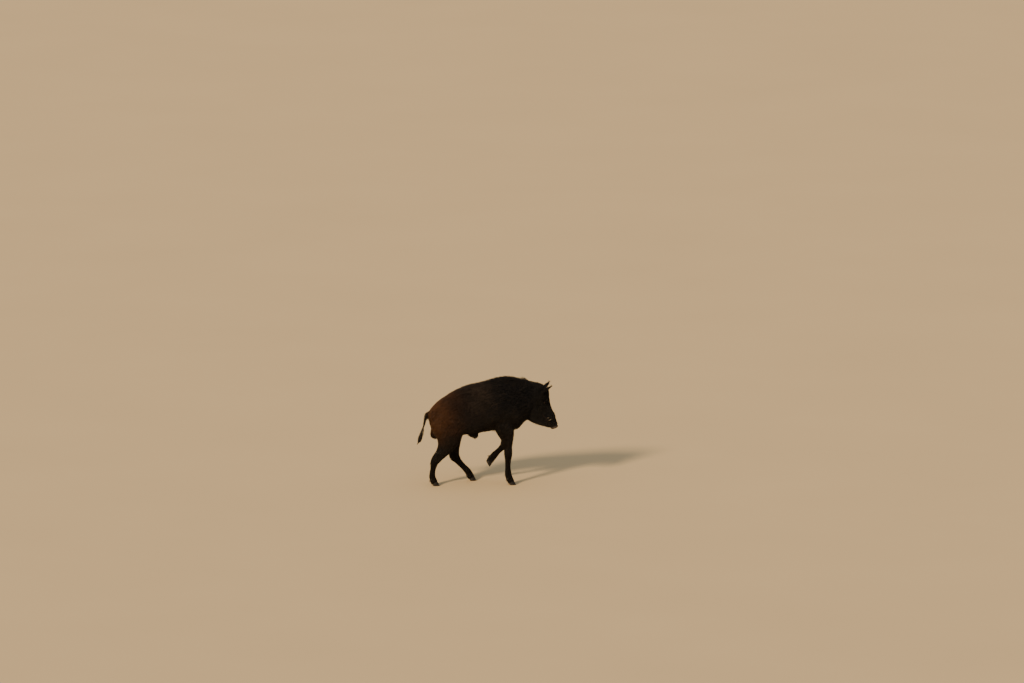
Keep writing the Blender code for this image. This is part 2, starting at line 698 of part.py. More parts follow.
# ---------------------------------------------------------------- the whole boar
def build():
    clear_scene()
    parts = new_collection("wild_boar")
    cutters = new_collection("cutters", hidden=True)
    finish = {name: new_material(name, *look) for name, look in MATERIALS.items()}

    forms = [trunk_form(), head_form(), ellipsoid(SCROTUM), ellipsoid(SHEATH)]
    forms += [limb_form(limb) for limb in LIMBS.values()]
    flesh = fused_flesh(forms, cutters)
    probe = bmesh.new()
    probe.from_mesh(flesh)
    surface = BVHTree.FromBMesh(probe)
    probe.free()

    let_in = {"tail": (tail_form(TAIL), "coat")}
    for side_name, side in SIDES.items():
        let_in[f"eye_{side_name}"] = (eye_form(surface, side), "eye")
        let_in[f"ear_{side_name}"] = (ear_form(side), "coat")
        for name, tusk in TUSKS.items():
            let_in[f"{name}_{side_name}"] = (tusk_form(surface, tusk, side), "ivory")
    below = []
    for name, limb in LIMBS.items():
        below.append(under_coronet(limb))
        for place, hand in (("right", -1), ("left", 1)):
            let_in[f"{name}_dewclaw_{place}"] = (dewclaw_form(limb, hand), "horn")
            claw = claw_form(limb, hand)
            new_object(f"{name}_claw_{place}", claw, parts, finish["horn"])
    tuft = tail_form(TAIL_TUFT)
    new_object("tail_tuft", tuft, parts, finish["coat"])

    sockets = joined([grown(mesh, CLEARANCE) for mesh, _ in let_in.values()])
    sockets = as_cutter(new_object("sockets", sockets, cutters))
    far = HEAD_SPACE
    past = box((0, -far.y, -far.z), far, head_matrix(MUZZLE_END, 0))
    below.append(past)
    ends = as_cutter(new_object("limb_ends", joined(below), cutters))
    whole = new_object("whole", flesh, cutters)
    add_boolean(whole, "DIFFERENCE", sockets)
    add_boolean(whole, "DIFFERENCE", ends)
    flesh = evaluated_mesh(whole)
    bpy.data.objects.remove(whole, do_unlink=True)

    for name, (mesh, look) in let_in.items():
        new_object(name, mesh, parts, finish[look])
    snout_disc(parts, cutters, finish["bare_skin"])
    part_flesh(flesh, parts, cutters, finish["coat"])
    stand_at_origin(parts, cutters)


def snout_disc(parts, cutters, material):
    mesh = bmesh.new()
    middle = head_matrix(MUZZLE_END + CUT / 2 + DISC_THICKNESS / 2, DISC_HALF_HEIGHT)
    placed = middle @ Matrix.Rotation(math.pi / 2, 4, "Y")
    placed = placed @ Matrix.Diagonal((DISC_HALF_HEIGHT, DISC_HALF_WIDTH, 1.0, 1.0))
    bmesh.ops.create_cone(
        mesh,
        cap_ends=True,
        segments=20,
        radius1=DISC_RIMS[0],
        radius2=DISC_RIMS[1],
        depth=DISC_THICKNESS,
        matrix=placed,
    )
    disc = new_object("snout_disc", mesh, parts, material)
    holes = []
    for side in SIDES.values():
        hole = bmesh.new()
        place = (DISC_THICKNESS / 2, side * NOSTRIL_SPREAD, NOSTRIL_RISE)
        ahead = Matrix.Translation(place)
        shape = Matrix.Diagonal((1.0, 1.0, NOSTRIL_TALL, 1.0))
        bmesh.ops.create_uvsphere(
            hole, u_segments=8, v_segments=6, radius=NOSTRIL_RADIUS, matrix=middle @ ahead @ shape
        )
        holes.append(hole)
    add_boolean(disc, "DIFFERENCE", as_cutter(new_object("nostrils", joined(holes), cutters)))


def stand_at_origin(parts, cutters):
    """Moves everything so that the middle of its footprint is over the origin."""
    graph = bpy.context.evaluated_depsgraph_get()
    corners = []
    for item in parts.objects:
        shape = item.evaluated_get(graph)
        corners += [shape.matrix_world @ Vector(corner) for corner in shape.bound_box]
    corners = np.array(corners)
    low, high = corners.min(axis=0), corners.max(axis=0)
    shift = Vector((-(low[0] + high[0]) / 2, -(low[1] + high[1]) / 2, -low[2]))
    for item in list(parts.objects) + list(cutters.objects):
        item.location = shift


build()
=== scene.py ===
import math
import bmesh
import bpy
import numpy as np
from mathutils import Matrix, Vector
from mathutils.bvhtree import BVHTree
from mathutils.kdtree import KDTree


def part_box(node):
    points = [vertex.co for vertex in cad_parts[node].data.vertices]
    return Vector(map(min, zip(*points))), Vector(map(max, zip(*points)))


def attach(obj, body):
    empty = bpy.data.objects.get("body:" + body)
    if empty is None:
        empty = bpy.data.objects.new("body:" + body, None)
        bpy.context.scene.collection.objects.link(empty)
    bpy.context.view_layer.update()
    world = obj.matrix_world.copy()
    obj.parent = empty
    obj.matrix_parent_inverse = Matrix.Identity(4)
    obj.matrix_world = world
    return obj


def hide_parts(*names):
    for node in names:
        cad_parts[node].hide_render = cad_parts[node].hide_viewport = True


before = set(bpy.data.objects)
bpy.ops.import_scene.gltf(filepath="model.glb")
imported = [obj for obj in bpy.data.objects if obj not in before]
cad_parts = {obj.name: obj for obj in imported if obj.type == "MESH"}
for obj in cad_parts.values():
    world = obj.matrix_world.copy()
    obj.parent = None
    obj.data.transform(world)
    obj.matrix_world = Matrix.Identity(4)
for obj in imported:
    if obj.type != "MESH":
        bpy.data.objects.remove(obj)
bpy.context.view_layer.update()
dice = np.random.default_rng(34)  # one seeded source of chance, so every run is the same


# small tools that the rest leans on
def unit(vectors):
    vectors = np.asarray(vectors, float)
    return vectors / np.maximum(np.linalg.norm(vectors, axis=-1, keepdims=True), 1e-9)


def apart(points, place):
    return np.linalg.norm(points - place, axis=1)


def rise(low, high, values):
    # 0 below low, 1 above high, and a soft slope between; high may be the smaller
    share = np.clip((np.asarray(values, float) - low) / (high - low), 0, 1)
    return share * share * (3 - 2 * share)


def bump(values, centre, reach):
    # a soft hill, 1 at the centre and nearly gone at twice the reach
    return np.exp(-(((np.asarray(values, float) - centre) / reach) ** 2))


def hill(feature, first, second):
    # a feature's height, then its centre and reach along two directions
    height, one, two = feature
    return height * bump(first, *one) * bump(second, *two)


def paint(hexCode):
    # an sRGB hex value as linear light
    parts = np.array([int(hexCode[i : i + 2], 16) for i in (1, 3, 5)]) / 255
    return np.where(parts <= 0.04045, parts / 12.92, ((parts + 0.055) / 1.055) ** 2.4)


def blended(first, second, share):
    share = np.asarray(share, float)[:, None]
    return first * (1 - share) + second * share


def middleOf(name):
    low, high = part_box(name)
    return (np.array(low) + np.array(high)) / 2


def showObject(name, data):
    piece = bpy.data.objects.new(name, data)
    bpy.context.scene.collection.objects.link(piece)
    return piece


def showPiece(name, mesh, material, replaced=(), place=None):
    mesh.materials.append(material)
    piece = showObject(name, mesh)
    if place:
        piece.matrix_world = place
    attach(piece, "root")
    if replaced:
        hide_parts(*replaced)


def placing(place, across, up, out):
    turn = Matrix([list(row) for row in zip(across, up, out)])
    return Matrix.Translation(Vector(place)) @ turn.to_4x4()


def arraysOf(mesh):
    points = np.empty(len(mesh.vertices) * 3, np.float32)
    mesh.vertices.foreach_get("co", points)
    mesh.calc_loop_triangles()
    triangles = np.empty(len(mesh.loop_triangles) * 3, np.int32)
    mesh.loop_triangles.foreach_get("vertices", triangles)
    return points.reshape(-1, 3).astype(float), triangles.reshape(-1, 3)


def workArrays(work):
    bmesh.ops.triangulate(work, faces=work.faces)
    points = np.array([vert.co[:] for vert in work.verts])
    triangles = np.array([[vert.index for vert in face.verts] for face in work.faces])
    work.free()
    return points, triangles


def triangleMesh(name, points, triangles, colours=None):
    mesh = bpy.data.meshes.new(name)
    mesh.vertices.add(len(points))
    mesh.vertices.foreach_set("co", np.asarray(points, np.float32).ravel())
    mesh.loops.add(len(triangles) * 3)
    mesh.loops.foreach_set("vertex_index", np.asarray(triangles, np.int32).ravel())
    mesh.polygons.add(len(triangles))
    mesh.polygons.foreach_set("loop_start", np.arange(len(triangles), dtype=np.int32) * 3)
    mesh.update(calc_edges=True)
    if colours is not None:
        colours = np.column_stack([colours, np.ones(len(colours))])
        markings = mesh.attributes.new("markings", "FLOAT_COLOR", "POINT")
        markings.data.foreach_set("color", colours.astype(np.float32).ravel())
    return mesh


def voxelMesh(mesh, voxel, weld=0.0):
    # one closed surface over all that the mesh holds
    piece = showObject("voxelWork", mesh)
    if weld:
        piece.modifiers.new("weld", "WELD").merge_threshold = weld
    remesh = piece.modifiers.new("remesh", "REMESH")
    remesh.mode = "VOXEL"
    remesh.voxel_size = voxel
    graph = bpy.context.evaluated_depsgraph_get()
    found = bpy.data.meshes.new_from_object(piece.evaluated_get(graph))
    bpy.data.objects.remove(piece)
    return found


def edgesOf(triangles):
    pairs = np.concatenate([triangles[:, [0, 1]], triangles[:, [1, 2]], triangles[:, [2, 0]]])
    return np.unique(np.sort(pairs, axis=1), axis=0)


def evenOut(values, edges, passes, shares=(0.5,), mask=1.0):
    # one share softens; a second, negative one gives back the size that softening takes
    values = values.reshape(len(values), -1).copy()
    counts = np.maximum(np.bincount(edges.ravel(), minlength=len(values)), 1)[:, None]
    first, second = edges.T
    for _ in range(passes):
        for share in shares:
            total = np.empty_like(values)
            for column, line in enumerate(values.T):
                total[:, column] = np.bincount(first, line[second], len(line))
                total[:, column] += np.bincount(second, line[first], len(line))
            values += share * mask * (total / counts - values)
    return values


def facesOf(points, triangles):
    # each triangle's normal, as long as twice its area
    corners = points[triangles]
    return np.cross(corners[:, 1] - corners[:, 0], corners[:, 2] - corners[:, 0])


def normalsOf(points, triangles):
    flat = facesOf(points, triangles)
    total = np.zeros_like(points)
    for corner in triangles.T:
        for column in range(3):
            total[:, column] += np.bincount(corner, flat[:, column], len(points))
    return unit(total)


def treeOf(points, triangles):
    return BVHTree.FromPolygons(points.tolist(), triangles.tolist())


def shares(points, triangles, picked, places):
    # how much each corner of the picked triangles counts at these places
    first, second, third = (points[triangles[picked, corner]] for corner in range(3))
    across, down, out = second - first, third - first, places - first
    aa, ad, dd = (across**2).sum(1), (across * down).sum(1), (down**2).sum(1)
    oa, od = (out * across).sum(1), (out * down).sum(1)
    scale = np.maximum(aa * dd - ad * ad, 1e-18)
    one, two = (dd * oa - ad * od) / scale, (aa * od - ad * oa) / scale
    weights = np.clip(np.column_stack([1 - one - two, one, two]), 0, 1)
    return weights / weights.sum(1, keepdims=True)


def sample(values, triangles, picked, weights):
    return (values[triangles[picked]] * weights[:, :, None]).sum(1)


def nearest(tree, places):
    picked = np.empty(len(places), np.int32)
    spots = np.empty((len(places), 3))
    for index, place in enumerate(places.tolist()):
        spots[index], _, picked[index], _ = tree.find_nearest(place)
    return spots, picked


def addNode(tree, kind, settings=None, links=None):
    node = tree.nodes.new(kind)
    for name, value in (settings or {}).items():
        if isinstance(name, int) or name in node.inputs:
            node.inputs[name].default_value = value
        else:
            setattr(node, name, value)
    for name, source in (links or {}).items():
        tree.links.new(source, node.inputs[name])
    return node


# each finish: the grain that mottles it, how that moves its tone, gloss and relief, and its surface
finishPlan = {
    # boar hide under short, flat hair: dark and dry, with a soft sheen along the hairs
    "hideUnderShortHair": {
        "grain": {"Scale": 1.0, "Detail": 3.0, "Roughness": 0.6},
        "span": (0.3, 0.75), "tone": (0.70, 1.25), "gloss": (0.72, 0.48), "relief": (0.8, 0.0009),
        "pores": 520.0,  # pores and creases about 2 mm apart
        "poreRelief": (0.35, 0.0004),
        "surface": {"Specular IOR Level": 0.3, "IOR": 1.50},
    },
    # keratin bristles: dark and a little waxy, so that single locks catch the light; the hairs in a
    # lock are drawn about 3 mm apart so that they show
    "waxyBristle": {
        "grain": {"Scale": 320.0, "Detail": 2.0, "Roughness": 0.6},
        "span": (0.3, 0.7), "tone": (0.72, 1.32), "gloss": (0.58, 0.42), "relief": (0.4, 0.0004),
        "surface": {"Specular IOR Level": 0.22, "IOR": 1.55},
    },
    # hoof horn: black keratin, dull on top, with growth rings and pale scuffed edges
    "hoofHorn": {
        "grain": {"Scale": 260.0, "Detail": 5.0, "Roughness": 0.65},
        "span": (0.3, 0.7), "tone": (0.6, 1.5), "gloss": (0.50, 0.78), "relief": (0.5, 0.0004),
        "surface": {"Specular IOR Level": 0.34, "IOR": 1.55},
    },
    # tusk ivory: smooth enamel, cream at the tip and stained brown at the lip
    "tuskIvory": {
        "grain": {"Scale": 380.0, "Detail": 4.0},
        "span": (0.3, 0.7), "tone": (0.8, 1.1), "relief": (0.2, 0.0002),
        "surface": {"Roughness": 0.36, "Specular IOR Level": 0.42, "IOR": 1.54},
    },
    # wet eye: a smooth clear surface over a dark brown iris and a wide pupil
    "wetEye": {
        "grain": {"Scale": 900.0, "Detail": 3.0},
        "span": (0.3, 0.7), "tone": (0.7, 1.35),
        "surface": {
            "Roughness": 0.06, "Specular IOR Level": 0.5, "IOR": 1.38,
            "Coat Weight": 0.15, "Coat Roughness": 0.03,
        },
    },
}


def buildFinish(name, colourFrom=None):
    material, tree = emptyMaterial(name)
    plan = finishPlan[name]
    space = addNode(tree, "ShaderNodeTexCoord").outputs["Object"]
    if colourFrom:
        colour = colourFrom(tree, space)
    else:
        colour = addNode(tree, "ShaderNodeAttribute", {"attribute_name": "markings"}).outputs["Color"]
    place, height = space, {}
    if "pores" in plan:
        place = addNode(tree, "ShaderNodeAttribute", {"attribute_name": "hairLie"}).outputs["Vector"]
        settings = {"Scale": plan["pores"], "feature": "DISTANCE_TO_EDGE"}
        pores = addNode(tree, "ShaderNodeTexVoronoi", settings, {"Vector": space})
        sunk = addNode(
            tree, "ShaderNodeBump", dict(zip(("Strength", "Distance"), plan["poreRelief"])),
            {"Height": pores.outputs["Distance"]},
        )
        height["Normal"] = sunk.outputs["Normal"]
    height["Height"] = addNode(tree, "ShaderNodeTexNoise", plan["grain"], {"Vector": place}).outputs["Fac"]
    moved = {}
    for use in ("tone", "gloss"):
        if use in plan:
            ends = dict(zip(("From Min", "From Max", "To Min", "To Max"), plan["span"] + plan[use]))
            shifted = addNode(tree, "ShaderNodeMapRange", ends, {"Value": height["Height"]})
            moved[use] = shifted.outputs["Result"]
    sources = {0: colour, "Scale": moved["tone"]}
    tinted = addNode(tree, "ShaderNodeVectorMath", {"operation": "SCALE"}, sources)
    links = {"Base Color": tinted.outputs[0]}
    if "gloss" in moved:
        links["Roughness"] = moved["gloss"]
    if "relief" in plan:
        settings = dict(zip(("Strength", "Distance"), plan["relief"]))
        links["Normal"] = addNode(tree, "ShaderNodeBump", settings, height).outputs["Normal"]
    closeMaterial(tree, plan["surface"], links)
    return material


def emptyMaterial(name):
    material = bpy.data.materials.new(name)
    material.use_nodes = True
    material.node_tree.nodes.clear()
    return material, material.node_tree


def closeMaterial(tree, surface, links):
    shader = addNode(tree, "ShaderNodeBsdfPrincipled", surface, links)
    addNode(tree, "ShaderNodeOutputMaterial", links={"Surface": shader.outputs[0]})


# camera: a long lens from far off, a little above the back and a little ahead of square
cameraPlan = {
    "around": -4.5,  # degrees from the animal's right side
    "above": 10.0,  # degrees above level
    "away": 100.0,  # metres
    "viewWidth": 8.828,  # metres of ground that the frame spans at the animal
    "right": 0.2091,  # metres from the origin to the frame's middle, along the frame
    "up": 1.2155,
    "sensor": 36.0,
    "clip": 2000,
}


def buildCamera(plan):
    around, above = math.radians(plan["around"]), math.radians(plan["above"])
    back = np.array([math.sin(around), -math.cos(around), 0]) * math.cos(above)
    back[2] = math.sin(above)
    right = np.array([math.cos(around), math.sin(around), 0])
    up = np.cross(back, right)
    data = bpy.data.cameras.new("longLens")
    data.sensor_width = plan["sensor"]
    data.lens = plan["sensor"] * plan["away"] / plan["viewWidth"]
    data.clip_end = plan["clip"]
    camera = showObject("longLens", data)
    place = right * plan["right"] + up * plan["up"] + back * plan["away"]
    camera.matrix_world = placing(place, right, up, back)
    bpy.context.scene.camera = camera


# the head's own directions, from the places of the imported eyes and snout
headPlan = {"pitch": 68.0, "eyeAlong": 0.152, "eyeDepth": 0.036}
pitch = math.radians(headPlan["pitch"])
faceWay = np.array([math.cos(pitch), 0, -math.sin(pitch)])  # poll to snout
browWay = np.array([math.sin(pitch), 0, math.cos(pitch)])  # out of the forehead
sideWay = np.array([0.0, 1.0, 0.0])
eyeMiddle = (middleOf("eye_left") + middleOf("eye_right")) / 2
poll = eyeMiddle - faceWay * headPlan["eyeAlong"] + browWay * headPlan["eyeDepth"]


def headPlaces(points):
    out = points - poll
    return out @ faceWay, -(out @ browWay), out[:, 1]


discAlong, discDepth = (float(part[0]) for part in headPlaces(middleOf("snout_disc")[None])[:2])

# kinds of flesh, as the coat's depth and the tufts' length and width, in millimetres
fleshPlan = {
    "trunk": (12.5, 62.0, 2.2),
    "neck": (13.5, 66.0, 2.2),
    "head": (3.2, 16.0, 1.2),
    "snout": (0.2, 3.0, 0.8),
    "ear": (2.4, 19.0, 1.1),
    "tail": (3.6, 26.0, 1.3),
    "tailTuft": (12.0, 78.0, 2.0),
    "upper": (8.0, 36.0, 1.8),
    "lower": (3.4, 15.0, 1.2),
}
kindNames = list(fleshPlan)
kindWords = {
    "tail_tuft": "tailTuft", "ear_": "ear", "upper": "upper", "lower_jaw": "head", "lower": "lower",
    "snout": "snout", "head": "head", "neck": "neck", "tail": "tail", "trunk": "trunk",
}


def kindOf(node):
    return next(kind for word, kind in kindWords.items() if word in node)


def isKind(kinds, *names):
    return np.isin(kinds, [kindNames.index(name) for name in names])


fleshNodes = sorted(
    name
    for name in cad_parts
    if not name.startswith(("eye", "tusk")) and "claw" not in name
)
tuskNodes = sorted(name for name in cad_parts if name.startswith("tusk"))
clawNodes = [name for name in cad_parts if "_claw_" in name]

# the skin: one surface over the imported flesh, drawn in by the depth of its coat
skinPlan = {
    "grow": 0.0013,  # each solid grows by this, so that the thin cuts close
    "earGrow": 0.0028,
    "weld": 1e-5,
    "voxel": 0.008,
    "evenings": 14,  # rounds that take out the facets and keep the size
    "keep": (0.6, -0.62),  # softens, then gives back the size
    "refined": (0.5, -0.5),
    "blend": 14,  # rounds that blend the coat's depth from part to part
    "flowBlend": 34,
    "normalBlend": 10,
    "depthBlend": 8,
    "sculptBlend": 6,
    "deepest": 0.36,  # most coat, as a share of the flesh's thickness
    "headEnd": 0.45,
    # where the mesh is halved in turn: from how far down the face, how deep, and round the eyes
    "finer": ((0.05, 0.18, 0.0), (0.240, 0.13, 0.040), (0.386, 0.09, 0.023), (9.0, 0.0, 0.0175)),
}

# the way that the hair lies, forward, left and up, before it is blended from part to part
liePlan = {
    "body": (-0.90, 0.0, -0.42),
    "rear": (0.60, 0.0, -0.70),  # added at the very back, so that it hangs down
    "belly": 0.42,  # lifts it straight back under the belly
    "chest": 0.8,
    "cheek": (-0.97, 0.0, -0.22),
    "faceSpread": 0.35,
    "ear": (0.42, 0.40, 0.81),
    "tail": (-0.30, 0.0, -0.95),
    "tailFork": 0.42,  # the tuft's lower end forks a little
    "tailHalf": 0.010,
    "upper": (-0.45, 0, 0),  # added to the limb's own direction
    "lower": (-0.10, 0, 0),
}


def lieOf(node, points, normals):
    kind = kindOf(node)
    x, y, z = points.T
    low, high = (np.array(corner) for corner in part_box(node))
    if kind in ("trunk", "neck"):
        way = np.tile(liePlan["body"], (len(points), 1))
        way[:, 2] += liePlan["belly"] * rise(-0.2, -0.9, normals[:, 2])
        way[:, 2] -= liePlan["chest"] * (rise(0.3, 0.9, normals[:, 0]) * rise(0.62, 0.5, z))
        rear = rise(0.25, 0.85, -normals[:, 0]) * (x < 0)
        return unit(way + rear[:, None] * np.array(liePlan["rear"]))
    if kind in ("head", "snout"):
        along, depth, _ = headPlaces(points)
        cheek = rise(0.05, 0.12, depth) * rise(0.30, 0.16, along)
        way = blended(-faceWay, np.array(liePlan["cheek"]), cheek)
        way[:, 1] += np.sign(y) * (rise(0.30, 0.10, along) * liePlan["faceSpread"]) * (1 - cheek)
        return unit(way)
    if kind in ("tail", "tailTuft"):
        way = np.tile(liePlan["tail"], (len(points), 1))
        if kind == "tailTuft":
            share = np.clip((high[2] - z) / (high[2] - low[2]), 0, 1)
            middle = high[0] - 0.016 + (low[0] - high[0] + 0.034) * share
            fork = np.clip((x - middle) / liePlan["tailHalf"], -1, 1) * rise(0.35, 0.65, share)
            way[:, 0] += liePlan["tailFork"] * fork
        return unit(way)
    if kind == "ear":
        way = np.array(liePlan["ear"]) * [1, np.sign(low[1] + high[1]), 1]
    else:
        limb = node.rsplit("_", 1)[0]
        ends = ("_lower", "_upper") if kind == "upper" else ("_claw_left", "_lower")
        way = middleOf(limb + ends[0]) - middleOf(limb + ends[1])
        way = unit(way * [1, kind == "upper", 1]) + liePlan[kind]
    return np.tile(unit(way), (len(points), 1))


def gatherFlesh():
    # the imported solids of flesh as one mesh, plain and grown a little
    plain, grown, faces, owner, offset = [], [], [], [], 0
    for index, name in enumerate(fleshNodes):
        work = bmesh.new()
        work.from_mesh(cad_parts[name].data)
        bmesh.ops.remove_doubles(work, verts=work.verts, dist=skinPlan["weld"])
        points, triangles = workArrays(work)
        reach = skinPlan["earGrow"] if kindOf(name) == "ear" else skinPlan["grow"]
        plain.append(points)
        grown.append(points + normalsOf(points, triangles) * reach)
        faces.append(triangles + offset)
        owner.append(np.full(len(triangles), index))
        offset += len(points)
    print("flesh solids gathered", len(fleshNodes))
    return [np.concatenate(part) for part in (plain, grown, faces, owner)]


def joinedSkin(grown, faces):
    # one closed surface over all of them, then its facets eased away
    mesh = voxelMesh(triangleMesh("skinWork", grown, faces), skinPlan["voxel"])
    edges = np.array([edge.vertices[:] for edge in mesh.edges])
    points = np.array([vert.co[:] for vert in mesh.vertices])
    points = evenOut(points, edges, skinPlan["evenings"], skinPlan["keep"])
    mesh.vertices.foreach_set("co", points.astype(np.float32).ravel())
    print("one skin", len(points), "points")
    return mesh


def coarseFields(points, triangles, flesh):
    # depth, length, width and lie of the coat, blended from part to part
    normals = normalsOf(points, triangles)
    plain, _, faces, owner = flesh
    part = owner[nearest(treeOf(plain, faces), points)[1]]
    sizes, lie = np.zeros((len(points), 3)), np.zeros((len(points), 3))
    kinds = np.zeros(len(points), int)
    for index, name in enumerate(fleshNodes):
        mine = part == index
        kinds[mine] = kindNames.index(kindOf(name))
        sizes[mine] = np.array(fleshPlan[kindOf(name)]) / 1000
        if mine.any():
            lie[mine] = lieOf(name, points[mine], normals[mine])
    edges = edgesOf(triangles)
    return evenOut(sizes, edges, skinPlan["blend"]), evenOut(lie, edges, skinPlan["flowBlend"]), kinds


# where the coat is deeper, longer or wider than its part's plain value, in metres
coatChanges = {
    "crestFront": 0.475,  # ahead of the middle of the body, at the poll
    "crestBack": -0.14,
    "crest": (0.016, 0.034, 0.0),
    "belly": (0.004, 0.014, 0.0),
    "haunch": (0.005, 0.022, 0.0004),
    "tailEnd": 0.55,  # the tail's lowest hairs are short, so that it ends in a point
    "fringe": 0.008,  # longer hair hangs over the tops of the hooves
    "fringeThin": 0.92,  # and the skin comes out to meet them
    "face": (-0.002, -0.006, -0.0003),
    "poll": (0.004, 0.020, 0.0006),
    "jowl": (0.005, 0.024, 0.0005),
    "thin": (0.003, 0.014, 0.0012),  # over the scrotum and the sheath
    "least": (0.0002, 0.004),
    # its place along the body and its height, each as a centre and a reach
    "scrotum": (1.0, (-0.462, 0.042), (0.420, 0.040)),
    "sheath": (1.0, (-0.126, 0.045), (0.400, 0.020)),
    "thinHalf": 0.05,
}


def crestShare(points, normals):
    front, back = coatChanges["crestFront"], coatChanges["crestBack"]
    top = rise(0.80, 0.40, np.abs(normals[:, 1])) * rise(0.15, 0.45, normals[:, 2])
    top *= rise(0.70, 0.80, points[:, 2])
    span = rise(back - 0.20, back + 0.10, points[:, 0])
    return top * span * rise(front + 0.05, front - 0.06, points[:, 0])


def thinShare(points):
    # 1 where the hair is thin and short
    x, y, z = points.T
    middle = bump(y, 0, coatChanges["thinHalf"])
    share = sum(hill(coatChanges[name], x, z) * middle for name in ("scrotum", "sheath"))
    return np.clip(share * 1.5, 0, 1)


def refineSizes(points, normals, kinds, sizes):
    sizes = sizes.copy()
    depths, lengths, _ = sizes.T
    z = points[:, 2]
    belly = rise(-0.3, -0.9, normals[:, 2]) * isKind(kinds, "trunk", "neck")
    haunch = rise(0.34, 0.50, z) * isKind(kinds, "upper")
    for name, share in (("crest", crestShare(points, normals)), ("belly", belly), ("haunch", haunch)):
        sizes += np.array(coatChanges[name]) * share[:, None]
    lengths *= 1 - coatChanges["tailEnd"] * isKind(kinds, "tailTuft") * rise(0.44, 0.36, z)
    lower = isKind(kinds, "lower")
    for name in clawNodes:
        gap = apart(points, middleOf(name))
        lengths += coatChanges["fringe"] * rise(0.055, 0.038, gap) * lower
        depths *= 1 - coatChanges["fringeThin"] * rise(0.050, 0.036, gap) * lower
    along, depth, _ = headPlaces(points)
    back = rise(0.30, 0.04, along)[:, None]  # from the muzzle up to the poll
    jowl = (rise(0.07, 0.14, depth) * rise(0.29, 0.17, along))[:, None]
    face, onPoll, onJowl = (np.array(coatChanges[name]) for name in ("face", "poll", "jowl"))
    change = face + onPoll * back + onJowl * jowl
    change[:, 0] *= rise(0.37, 0.34, along)
    sizes += change * isKind(kinds, "head", "snout")[:, None]
    sizes += (np.array(coatChanges["thin"]) - sizes) * thinShare(points)[:, None]
    np.maximum(sizes[:, :2], coatChanges["least"], out=sizes[:, :2])
    return sizes


def refineMesh(mesh):
    # finer mesh where the head needs it: head, then muzzle and eyes, then lids and nostrils
    work = bmesh.new()
    work.from_mesh(mesh)
    for start, deepest, eyeReach in skinPlan["finer"]:
        faces = list(work.faces)
        spots = np.array([face.calc_center_median()[:] for face in faces])
        along, depth, _ = headPlaces(spots)
        gap = np.minimum(*(apart(spots, middleOf(eye)) for eye in ("eye_left", "eye_right")))
        chosen = (along > start) & (along < skinPlan["headEnd"]) & (depth < deepest) | (gap < eyeReach)
        edges = list({edge for index in np.flatnonzero(chosen) for edge in faces[index].edges})
        bmesh.ops.subdivide_edges(work, edges=edges, cuts=1, use_grid_fill=True)
    points, triangles = workArrays(work)
    fine = rise(0.0, 0.05, headPlaces(points)[0])[:, None]
    return evenOut(points, edgesOf(triangles), 6, skinPlan["refined"], fine), triangles


# the eye and its lids
eyePlan = {
    "ball": 0.0125,  # radius of the eyeball
    "cornea": (0.0011, 0.0078),  # how far it bulges, and its radius
    "sunk": 0.0036,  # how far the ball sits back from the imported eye
    "half": 0.0118,  # half length of the opening
    "upper": 0.0064,
    "lower": 0.0050,
    "almond": (1.7, 1.9),  # powers that shape the opening
    "lid": 0.0018,  # thickness of the lids over the ball
    "slot": 0.0026,  # how far the flesh stays under the ball inside the opening
    # height of each fold, its distance from the pupil and its reach, and where it rises from none to full
    "upperFold": (-0.0014, 0.0150, 0.0016, -0.004, 0.004),
    "lidRoll": (0.0012, 0.0182, 0.0022, -0.002, 0.006),
    "lowerFold": (-0.0010, 0.0155, 0.0018, 0.003, -0.004),
    # height, then centre and reach upwards and backwards
    "brow": (0.0042, (0.0215, 0.0075), (-0.001, 0.017)),
    "hollow": (-0.0022, (-0.002, 0.008), (-0.022, 0.008)),
    "near": 0.03,
    "reshape": 0.034,  # how far from the pupil the lids are shaped
    "seat": (0.0190, 0.0115),  # distances over which the face becomes lid
    "inside": (1.55, 0.50),
}


def eyeFrames(points, normals):
    frames = []
    for name in ("eye_left", "eye_right"):
        centre = middleOf(name)
        side = np.sign(centre[1])
        outward = (apart(points, centre) < eyePlan["near"]) & (normals[:, 1] * side > 0.2)
        out = unit(normals[outward].mean(0) + sideWay * side * 0.35)
        back = -faceWay * 0.93 + browWay * 0.30  # front corner to back corner
        back = unit(back - out * (back @ out))
        up = np.cross(out, back)
        up = up if up @ browWay > 0 else -up
        frames.append({
            "name": name, "centre": centre - out * eyePlan["sunk"], "out": out, "back": back, "up": up,
            "hand": "Left" if side > 0 else "Right",
        })
    return frames


def openingShare(back, up):
    # under 1 inside the almond between the lids
    half = np.where(up > 0, eyePlan["upper"], eyePlan["lower"])
    wide, tall = eyePlan["almond"]
    return (np.abs(back) / eyePlan["half"]) ** wide + (np.abs(up) / half) ** tall


def sculptEyes(points, normals, frames):
    ball = eyePlan["ball"]
    for eye in frames:
        out = points - eye["centre"]
        height, back, up = out @ eye["out"], out @ eye["back"], out @ eye["up"]
        reach = np.hypot(back, up)
        near = (reach < eyePlan["reshape"]) & (height > -0.02) & (normals @ eye["out"] > -0.2)
        lid = np.sqrt(np.maximum((ball + eyePlan["lid"]) ** 2 - reach**2, 0))
        seat = rise(*eyePlan["seat"], reach)
        target = height * (1 - seat) + np.maximum(height * 0.2, lid) * seat
        for name in ("upperFold", "lidRoll", "lowerFold"):
            fold, middle, width, start, end = eyePlan[name]
            target += fold * bump(reach, middle, width) * rise(start, end, up)
        target += hill(eyePlan["brow"], up, back)
        target += hill(eyePlan["hollow"], up, back)
        floor = np.sqrt(np.maximum(ball**2 - reach**2, 0)) - eyePlan["slot"]
        inside = rise(*eyePlan["inside"], openingShare(back, up))
        target = target * (1 - inside) + floor * inside
        points[near] += (eye["out"] * (target - height)[:, None])[near]
    return points


